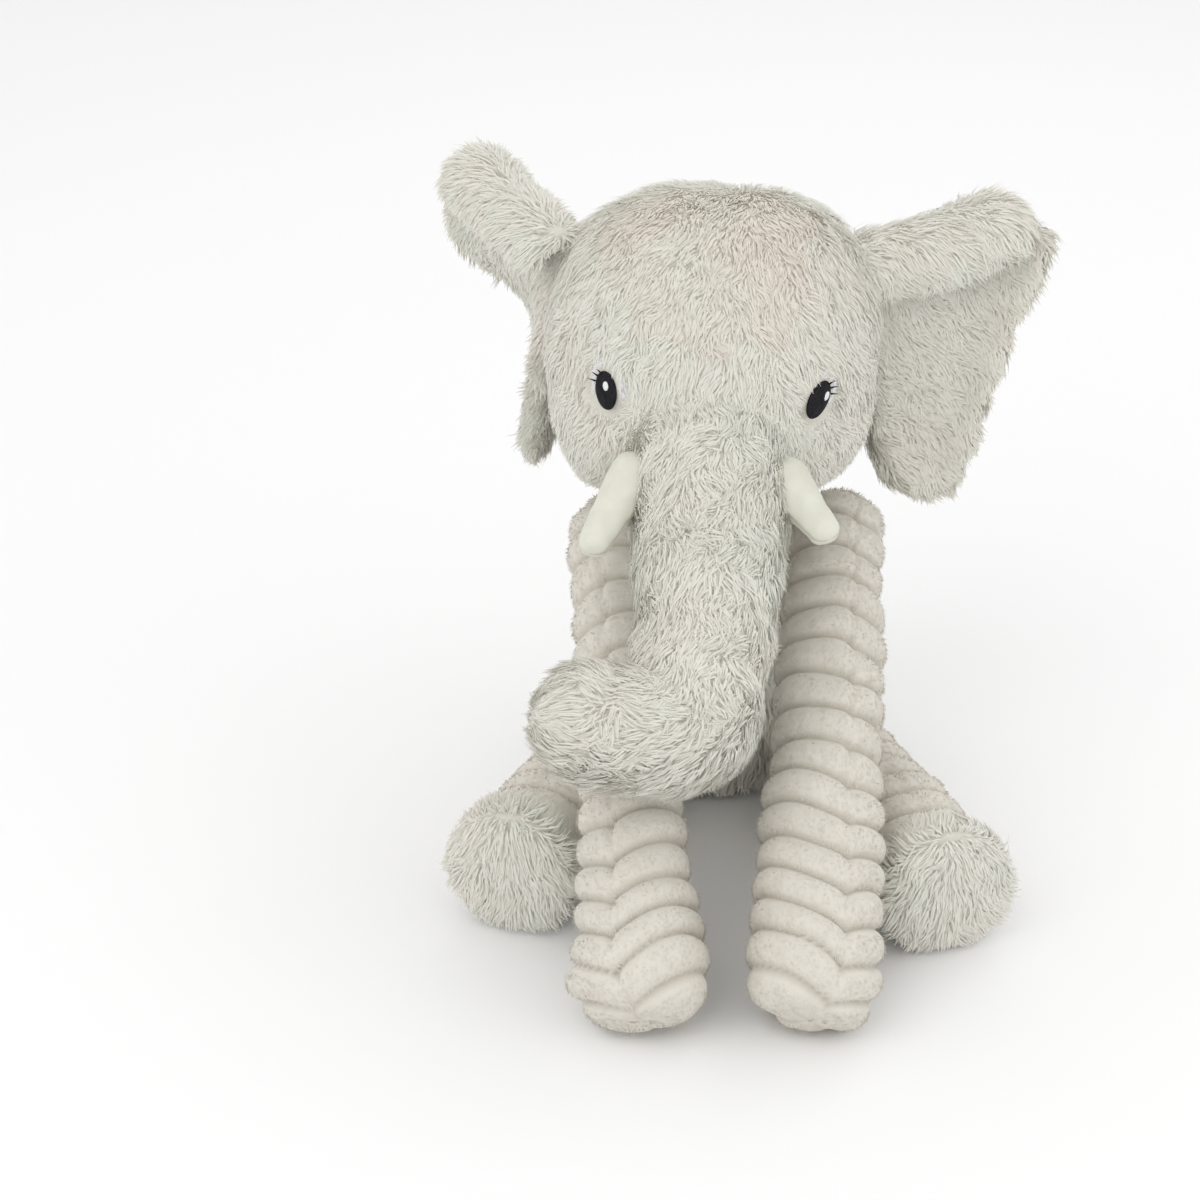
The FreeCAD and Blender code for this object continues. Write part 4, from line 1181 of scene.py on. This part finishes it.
@dataclass
class Ear:
    """Floppy ear whose top edge is folded forward into a thick furry roll.

    The cloth's middle surface runs up the flap, over a half circle and down the lip.  It is
    given a thickness on both sides, which shrinks to nothing at every edge.
    """

    wardrobe: Wardrobe
    side: Side
    sweep: float
    twist: float
    tuck: float
    root_lift: float
    drop: float
    half_thick: float = 3.4 * MM
    fold: float = 7.6 * MM
    lip: float = 9.0 * MM
    rows: int = 90
    flap_columns: int = 34
    fold_columns: int = 14
    lip_columns: int = 10

    def middle(self) -> tuple[Array, Array]:
        """Middle surface in the ear's own (out, forward, up) axes, and distance to its edge."""
        t = np.linspace(0.0, 1.0, self.rows)
        name = self.side.value
        high = node_box(f"ear_back_{name}")[1][2] - joint_place(f"ear_{name}_flap")[2]
        rise = high / MM - 12.0 - 26.0
        start = -16.0
        climb = 26.0 + self.root_lift * (1 - t) + rise * t
        top = np.stack([(start + (47.0 - start) * t) * MM, 0 * t, climb * MM], -1)
        rim_knots = np.array(
            [
                (-4, -40), (3, -54), (15, -59), (24, -55), (31, -39),
                (38, -15), (46, 9), (54, 28), (56, 23 + rise),
            ]
        )
        flat_knots = np.column_stack([rim_knots[:, 0], 0 * rim_knots[:, 0], rim_knots[:, 1]])
        rim_line = smooth_line(flat_knots * MM, self.rows)
        rim_line[:, 1] = 3.0 * MM + 2.0 * MM * np.sin(3.0 * t)
        rim_line[:, 2] *= np.where(rim_line[:, 2] < 0, self.drop, 1.0)
        round_tip = np.sqrt(1.0 - ramp(0.86, 1.0, t) ** 1.5)[:, None]
        fold = self.fold * (0.94 + 0.12 * t)[:, None] * np.maximum(round_tip, 0.02)
        down = unit(np.array([0.32, 0.0, -0.95]))
        ahead = np.array([0.0, 1.0, 0.0])
        centre = top + ahead * 1.5 * MM

        share = np.linspace(0, 1, self.flap_columns)[None, :, None]
        start = (centre - ahead * fold)[:, None]
        end = rim_line[:, None]
        flap = end * (1 - share) + start * share
        hollow = 3.5 * MM * np.sin(math.pi * share[..., 0]) * (0.4 + 0.6 * np.sin(math.pi * t)[:, None])
        flap[..., 1] -= hollow
        angle = np.linspace(math.pi, 0, self.fold_columns + 1)[None, 1:, None]
        arch = centre[:, None] + fold[:, None] * (np.cos(angle) * ahead - np.sin(angle) * down)
        hang = np.linspace(0, 1, self.lip_columns + 1)[None, 1:, None]
        lip = self.lip * (0.35 + 0.65 * np.sin(math.pi * np.clip(t * 1.05, 0, 1)) ** 0.6)[:, None, None]
        lip = lip * np.maximum(round_tip, 0.02)[:, None]
        curl = -0.35 * ahead * hang**2
        drop = arch[:, -1:] + lip * (down * hang + curl)
        surface = np.concatenate([flap, arch, drop], 1)
        step = np.linalg.norm(np.diff(surface, axis=1), axis=-1)
        run = np.concatenate([np.zeros((self.rows, 1)), np.cumsum(step, 1)], 1)
        edge = np.minimum(run, run[:, -1:] - run)
        ends = np.minimum(t, 1.0 - t)[:, None] * 50.0 * MM
        return surface, np.minimum(edge, ends)

    def skin(self) -> Skin:
        """The closed cloth surface, placed on the head and swept back, its lower part further."""
        middle, edge = self.middle()
        normal = unit(np.cross(np.gradient(middle, axis=1), np.gradient(middle, axis=0)))
        soft = np.clip(edge / (5.0 * MM), 0.0, 1.0)
        thick = (self.half_thick * np.sqrt(1.0 - (1.0 - soft) ** 2))[..., None]
        loop = np.concatenate([middle - normal * thick, (middle + normal * thick)[:, ::-1]], 1)
        out, forward, up = loop[..., 0], loop[..., 1], loop[..., 2]
        turn = np.radians(self.sweep + self.twist * ramp(32.0 * MM, -8.0 * MM, up))
        x = self.side.sign * (out * np.cos(turn) + forward * np.sin(turn) - self.tuck)
        y = out * np.sin(turn) - forward * np.cos(turn)
        places = joint_place(f"ear_{self.side.value}_flap") + np.stack([x, y, up], -1)
        if self.side is Side.RIGHT:
            places = places[:, ::-1]
        return Skin(places)

    def build(self) -> None:
        """Builds the cloth, the long outer fur and the shorter, darker fur of the lining, whose darkness is
        painted shade.
        """
        name, body = self.side.value, f"ear_{self.side.value}"
        skin = self.skin()
        lumps = 0.6 * MM * wander(skin.points, 0.025, 51 + self.side.sign)
        skin = skin.swell(lumps)
        cloth = skin.build(f"ear_{name}_cover")
        nodes = (f"ear_front_{name}", f"ear_back_{name}", f"ear_wadding_{name}")
        dress(cloth, self.wardrobe.backing, body, nodes)
        flap_share = self.flap_columns / (self.flap_columns + self.fold_columns + self.lip_columns)
        turn = math.radians(self.sweep)
        outward = np.array([self.side.sign * math.cos(turn), math.sin(turn), 0.0])

        def lining(roots: Roots) -> Array:
            """True on the front of the flap."""
            column = roots.column if self.side is Side.LEFT else 1.0 - roots.column
            return column > 1.0 - 0.5 * flap_share

        def comb(roots: Roots) -> Array:
            """Fur lies out along the roll and down the flap."""
            return np.broadcast_to(0.55 * outward - 0.75 * UP, roots.at.shape)

        seed = 301 + self.side.sign
        outer = Pile(9.5 * MM, 0.75 * MM, 1.15e6, stand=0.30, tuft=4.2 * MM, gather=0.5, seed=seed)

        def long_part(roots: Roots) -> Array:
            """Full length everywhere but on the lining."""
            return 1.0 * ~lining(roots)

        def short_part(roots: Roots) -> Array:
            """Full length on the lining only."""
            return 1.0 * lining(roots)

        Coat(f"ear_{name}_fur", skin, comb, self.wardrobe.fur, outer, body, long_part).grow()
        inner = replace(outer, length=7.5 * MM, stand=0.24, tuft=3.6 * MM, seed=seed + 10)
        shade = self.wardrobe.shade_fur
        Coat(f"ear_{name}_lining_fur", skin, comb, shade, inner, body, short_part, Slot.SHORT_FUR).grow()


# ---------------------------------------------------------------- body, neck and tail


@dataclass
class Torso:
    """Furry pear-shaped body that is flat where it sits, with a short furry neck."""

    wardrobe: Wardrobe
    inset: float = 3.5 * MM
    radii: tuple[float, float, float] = (46.0 * MM, 40.0 * MM, 74.0 * MM)

    def build(self) -> None:
        """Builds the body and the neck."""
        low, high = node_box("body_front_panel", "body_back_panel")
        radii = np.array(self.radii)
        centre = np.array([(low[0] + high[0]) / 2, (low[1] + high[1]) / 2, high[2] - radii[2]])
        skin = ball_skin(centre, radii - self.inset, 110, 120, 2.1)
        lumps = 0.9 * MM * wander(skin.points, 0.04, 71)
        points = skin.points + unit(skin.points - centre) * lumps[..., None]
        points[..., 2] = np.maximum(points[..., 2], 1.2 * MM)
        skin = Skin(points)
        cloth = skin.build("body_cover")
        nodes = ("body_front_panel", "body_back_panel", "body_filling", "pellet_bag")
        dress(cloth, self.wardrobe.backing, "body", nodes)
        fur = Pile(9.5 * MM, 1.2 * MM, 0.5e6, stand=0.35, seed=401)

        def above(roots: Roots) -> Array:
            """No fur under the seat, where the cloth is pressed flat."""
            return ramp(1.5 * MM, 9.0 * MM, roots.at[:, 2])

        strands = fur.grow("body_fur", skin, falling, above)
        dress(strands, self.wardrobe.fur, "body")

        neck = joint_place("head_turn")
        collar = ball_skin(neck, np.full(3, 22.0 * MM), 40, 60)
        ball = collar.build("neck_cover_cloth")
        dress(ball, self.wardrobe.backing, "neck", ("neck_cover", "neck_filling"))
        short = Pile(6.0 * MM, 1.3 * MM, 0.4e6, stand=0.4, seed=402)
        dress(short.grow("neck_fur", collar, falling), self.wardrobe.fur, "neck")


@dataclass
class Tail:
    """Short ribbed tail with a furry tuft, lying on the floor behind the body."""

    wardrobe: Wardrobe

    def build(self) -> None:
        """Builds stem and tuft."""
        start = joint_place("tail_wag")
        low, high = node_box("tail_tuft")
        middle = (low + high) / 2
        end = start + (middle - start) * 0.85
        run = end - start
        length = float(np.linalg.norm(run))
        distance, radius = limb_stations(length, 6.8 * MM, 5.2 * MM, 0.5 * MM)
        line = start + unit(run) * distance[:, None]
        skin = tube_skin(line, radius, 48, UP)
        rib = rib_height(np.broadcast_to(distance[:, None], skin.points.shape[:2]), 5.0 * MM)
        skin = skin.swell(1.0 * MM * (rib - 1.0))
        stem = skin.build("tail_stem", {"rib": rib})
        dress(stem, self.wardrobe.ribbed, "tail", ("tail_cover",))
        core = ball_skin(middle, np.array([5.0, 9.5, 5.0]) * MM, 30, 40)
        tuft = core.build("tail_tuft_cloth")
        dress(tuft, self.wardrobe.backing, "tail", ("tail_tuft",))
        pile = Pile(9.0 * MM, 1.0 * MM, 1.3e6, stand=0.25, seed=501)

        def clear_of_floor(roots: Roots) -> Array:
            """Shorter fur on the side that lies on the floor."""
            return ramp(0.5 * MM, 7.0 * MM, roots.at[:, 2]) * 0.8 + 0.2

        strands = pile.grow("tail_tuft_fur", core, lambda r: r.at * 0.0 + unit(run), clear_of_floor)
        dress(strands, self.wardrobe.fur, "tail")


# ---------------------------------------------------------------- ribbed limbs


def rib_height(distance: Array, pitch: float) -> Array:
    """Height of wide ribs, 0 in a groove to 1 on a crest: (1 - |x|^2.6)^0.8 over each rib.

    Args:
        distance: distance across the ribs.
        pitch: width of one rib.

    Returns:
        The height at every distance.
    """
    x = 2.0 * np.mod(distance / pitch, 1.0) - 1.0
    return np.maximum(1.0 - np.abs(x) ** 2.6, 0.08) ** 0.8


@dataclass
class RibbedLimb:
    """Stuffed tube of wide-ribbed plush with a seam down its front and back.

    Where a panel's cut edge slants, its ribs run down to the seam, so the ribs of two panels
    meet there in shallow chevrons.
    """

    wardrobe: Wardrobe
    name: str
    body: str
    nodes: tuple[str, ...]
    start: Array
    end: Array
    start_radius: float
    end_radius: float
    seed: int
    level: Array = field(default_factory=lambda: np.array([0.0, -0.3, 1.0]))
    pitch: float = 14.6 * MM
    depth: float = 4.0 * MM
    chevron: float = 0.14
    slip: float = 0.0
    waist: float = 0.0
    cap: float = 0.86
    columns: int = 104
    pile_density: float = 0.85e6
    bare_from: float | None = None

    def build(self) -> None:
        """Builds the ribbed cloth and its short pile."""
        run = self.end - self.start
        length = float(np.linalg.norm(run))
        distance, radius = limb_stations(length, self.start_radius, self.end_radius, 0.9 * MM, self.cap)
        share = np.clip(distance / length, 0.0, 1.0)
        radius = radius - self.waist * np.sin(math.pi * share**1.3)
        travelled = np.concatenate([[0.0], np.cumsum(np.hypot(np.diff(distance), np.diff(radius)))])
        line = self.start + unit(run) * distance[:, None]
        ahead = self.start + unit(run) * np.arange(len(distance))[:, None] * MM
        skin = tube_skin(ahead, radius, self.columns, self.level)
        skin = Skin(skin.points - ahead[:, None] + line[:, None])
        turn = np.linspace(0, math.tau, self.columns, endpoint=False)
        turn = (turn + math.pi) % math.tau - math.pi
        arc = np.abs(turn)[None, :] * np.maximum(radius, 6.0 * MM)[:, None]
        seam_side = np.where(turn >= 0, 1.0, 0.0)[None, :]
        slant = self.chevron * (0.3 + 2.4 * share[:, None] ** 2)
        place = travelled[:, None] + slant * arc * (1.0 - 0.4 * arc / (self.end_radius * math.pi))
        place = place + self.slip * seam_side + 1.3 * MM * wander(skin.points, 0.045, self.seed)
        rib = rib_height(place, self.pitch)
        front = np.exp(-((turn[None, :] * radius[:, None]) / (1.7 * MM)) ** 2)
        behind = np.exp(-((np.abs(turn) - math.pi)[None, :] * radius[:, None] / (1.7 * MM)) ** 2)
        seam = np.maximum(front, behind)
        lumps = 0.9 * MM * wander(skin.points, 0.035, self.seed + 1)
        ends = ramp(5.0 * MM, 19.0 * MM, radius)[:, None]
        skin = skin.swell(((rib - 0.82) * self.depth - 0.7 * MM * seam + lumps) * ends)
        # the seam lowers the rib value, so the painted groove shade also darkens the seam crease
        height = np.clip(rib * (1.0 - 0.3 * seam), 0.0, 1.0)
        cloth = skin.build(f"{self.name}_cover", {"rib": height})
        dress(cloth, self.wardrobe.ribbed, self.body, self.nodes)
        pile = Pile(
            3.4 * MM,
            0.7 * MM,
            self.pile_density,
            stand=0.6,
            tuft=2.4 * MM,
            gather=0.45,
            bent=False,
            seed=self.seed,
        )

        def cover(roots: Roots) -> Array:
            """Pile everywhere but deep in the grooves, and off the furry foot."""
            row = np.interp(roots.row * (len(distance) - 1), np.arange(len(distance)), distance)
            fine = np.clip(np.round(roots.row * (len(distance) - 1)).astype(int), 0, len(distance) - 1)
            column = np.round(roots.column * self.columns).astype(int) % self.columns
            share = 0.9 * ramp(0.3, 0.8, rib[fine, column])
            if self.bare_from is not None:
                share = share * (row < self.bare_from)
            return share

        fuzz = pile.grow(f"{self.name}_pile", skin, lengthwise, cover)
        dress(fuzz, self.wardrobe.rib_pile, self.body)


@dataclass
class Arm:
    """Long ribbed arm that reaches from the shoulder forward and down to the floor."""

    wardrobe: Wardrobe
    side: Side
    shoulder_radius: float = 17.2 * MM
    paw_radius: float = 23.4 * MM
    forward: float = 4.0 * MM

    def build(self) -> None:
        """Places the limb from its joint and its packed box."""
        name = self.side.value
        joint = "arm_right_raise" if self.side is Side.RIGHT else "arm_left_lower"
        shoulder = joint_place(joint)
        nodes = (f"arm_{name}_inner_panel", f"arm_{name}_outer_panel")
        low, high = node_box(*nodes)
        reach = 23.0 * MM
        paw_x = high[0] - reach if self.side is Side.RIGHT else low[0] + reach
        paw = np.array([paw_x, low[1] + reach - self.forward, low[2] + reach])
        RibbedLimb(
            self.wardrobe,
            f"arm_{name}",
            f"arm_{name}",
            (*nodes, f"arm_filling_{name}"),
            shoulder,
            paw,
            self.shoulder_radius,
            self.paw_radius,
            seed=601 + self.side.sign,
            waist=(3.8 if self.side is Side.RIGHT else 1.0) * MM,
            slip=1.2 * MM * self.side.sign,
            chevron=0.24,
            level=np.array([self.side.sign * 0.42, -0.5, 0.8]),
        ).build()


@dataclass
class Leg:
    """Short ribbed leg with a furry foot and a round furry sole that faces forward."""

    wardrobe: Wardrobe
    side: Side
    hip_radius: float = 20.6 * MM
    foot_radius: float = 22.5 * MM

    def build(self) -> None:
        """Builds the leg, the fur cuff of the foot and the sole."""
        name = self.side.value
        body = f"leg_{name}"
        hip = joint_place(f"leg_{name}_spread")
        low, high = node_box(f"foot_sole_{name}")
        sole = (low + high) / 2
        sole[2] = hip[2]
        way = unit(sole - hip)
        end = sole - way * 2.5 * MM
        RibbedLimb(
            self.wardrobe,
            f"leg_{name}",
            body,
            (f"leg_cover_{name}", f"leg_filling_{name}"),
            hip,
            end,
            self.hip_radius,
            self.foot_radius - 1.5 * MM,
            seed=631 + self.side.sign,
            level=UP,
            chevron=0.1,
            bare_from=float(np.linalg.norm(end - hip)) - 7.0 * MM,
            cap=0.04,
            columns=96,
        ).build()
        self.build_foot(name, body, sole, way)

    def build_foot(self, name: str, body: str, sole: Array, way: Array) -> None:
        """Builds the foot: a short furry cuff that closes in a domed sole."""
        quarter = np.linspace(0, math.pi / 2, 40)
        back = np.linspace(-11.0, -3.0, 18) * MM
        dome = 4.5 * MM * np.sin(quarter)
        distance = np.concatenate([[back[0]], back, dome - 3.0 * MM])
        flat = self.foot_radius * np.cos(quarter) ** 0.42
        cuff = np.full(len(back), self.foot_radius)
        cuff[:4] *= np.array([0.93, 0.97, 0.99, 1.0])
        radius = np.concatenate([[0.0], cuff, flat])
        line = sole + way * distance[:, None]
        ahead = sole + way * np.arange(len(distance))[:, None] * MM
        skin = tube_skin(ahead, radius, 90, UP)
        points = skin.points - ahead[:, None] + line[:, None]
        points[..., 2] = np.maximum(points[..., 2], 1.3 * MM)
        skin = Skin(points)
        cloth = skin.build(f"foot_{name}_cover")
        dress(cloth, self.wardrobe.backing, body, (f"foot_sole_{name}",))
        fur = Pile(9.0 * MM, 0.75 * MM, 1.15e6, stand=0.32, gather=0.5, seed=661 + self.side.sign)

        def comb(roots: Roots) -> Array:
            """Fur of the cuff lies back along the leg; fur of the sole lies down and out."""
            radial = roots.at - sole
            radial = radial - (radial @ way)[:, None] * way
            front = ramp(0.3, 0.8, roots.normal @ way)[:, None]
            return -way * (1 - front) + (radial / self.foot_radius * 0.7 - 0.9 * UP) * front

        def clear_of_floor(roots: Roots) -> Array:
            """Short fur where the foot rests, and none on the hidden back."""
            under = ramp(0.8 * MM, 8.0 * MM, roots.at[:, 2]) * 0.85 + 0.15
            return under * (roots.normal @ way > -0.7)

        Coat(f"foot_{name}_fur", skin, comb, self.wardrobe.fur, fur, body, clear_of_floor).grow()


# ---------------------------------------------------------------- surroundings


@dataclass
class Studio:
    """Plain pale floor with a curved backdrop, soft lights and the camera."""

    width: float = 6.0
    eye: tuple[float, float, float] = (-0.046, -0.9951, 0.5371)
    aim: tuple[float, float, float] = (-0.046, -0.045, 0.0941)
    lens_mm: float = 85.0

    def build(self) -> None:
        """Builds floor, lights and camera."""
        across = np.linspace(-self.width / 2, self.width / 2, 3)
        bend = np.linspace(0, math.pi / 2, 24)
        depth = np.concatenate([[-2.5, 0.0, 1.6], 1.6 + 0.8 * np.sin(bend[1:]), [2.4]])
        height = np.concatenate([[0.0, 0.0, 0.0], 0.8 - 0.8 * np.cos(bend[1:]), [3.0]])
        grid = np.stack(
            [np.tile(across, (len(depth), 1)), np.tile(depth[:, None], 3), np.tile(height[:, None], 3)], -1
        )
        row, column = np.meshgrid(np.arange(len(depth) - 1), np.arange(2), indexing="ij")
        a = (row * 3 + column).ravel()
        faces = np.stack([a, a + 1, a + 4, a + 3], -1)
        floor = make_mesh("floor", grid.reshape(-1, 3), faces, {})
        floor.data.materials.append(FloorFinish().make())
        self.light("key", (-0.75, -1.15, 1.35), 1.3, 7.0)
        self.light("fill", (1.1, -0.9, 0.8), 1.2, 2.5)
        self.light("rim", (0.3, 1.0, 1.3), 1.0, 2.5)
        world = bpy.data.worlds.new("studio_air")
        world.use_nodes = True
        world.node_tree.nodes["Background"].inputs[0].default_value = (1.0, 1.0, 1.0, 1.0)
        world.node_tree.nodes["Background"].inputs[1].default_value = 0.88
        bpy.context.scene.world = world
        bpy.context.scene.view_settings.view_transform = "Standard"
        self.camera()

    def light(self, name: str, place: tuple[float, float, float], size: float, power: float) -> None:
        """Adds a square soft light that faces the toy.

        Args:
            name: the light's name.
            place: where it stands.
            size: its width.
            power: its power in watts.
        """
        lamp = bpy.data.lights.new(name, "AREA")
        lamp.size = size
        lamp.energy = power
        stand = bpy.data.objects.new(name, lamp)
        stand.location = place
        stand.rotation_euler = facing(np.array(place), np.array([0.0, -0.06, 0.12]))
        bpy.context.scene.collection.objects.link(stand)

    def camera(self) -> None:
        """Adds the camera."""
        lens = bpy.data.cameras.new("camera")
        lens.lens = self.lens_mm
        lens.sensor_width = 36.0
        lens.clip_end = 50.0
        stand = bpy.data.objects.new("camera", lens)
        stand.location = self.eye
        stand.rotation_euler = facing(np.array(self.eye), np.array(self.aim))
        bpy.context.scene.collection.objects.link(stand)
        bpy.context.scene.camera = stand


def facing(place: Array, target: Array) -> tuple[float, float, float]:
    """Rotation that turns an object's -Z from a place to a target with its Y up."""
    way = unit(target - place)
    return (math.acos(-way[2]), 0.0, math.atan2(-way[0], way[1]))


# ---------------------------------------------------------------- the toy


def main() -> None:
    """Builds every sub-assembly."""
    logging.basicConfig(level=logging.INFO, format="%(message)s")
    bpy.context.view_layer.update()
    wardrobe = Wardrobe()
    head = Head(wardrobe)
    head.build()
    for side, tilt in ((Side.RIGHT, 4.0), (Side.LEFT, -24.0)):
        Eye(wardrobe, head, side, tilt).build()
    for side in Side:
        Tusk(wardrobe, side).build()
    Trunk(wardrobe).build()
    Ear(
        wardrobe, Side.RIGHT, sweep=57.0, twist=42.0, tuck=4.0 * MM, root_lift=10.0, drop=0.84, lip=6.0 * MM
    ).build()
    Ear(wardrobe, Side.LEFT, sweep=8.0, twist=0.0, tuck=0.0, root_lift=0.0, drop=1.0).build()
    Torso(wardrobe).build()
    Tail(wardrobe).build()
    for side in Side:
        Arm(wardrobe, side).build()
        Leg(wardrobe, side).build()
    Studio().build()


if __name__ == "__main__":
    main()
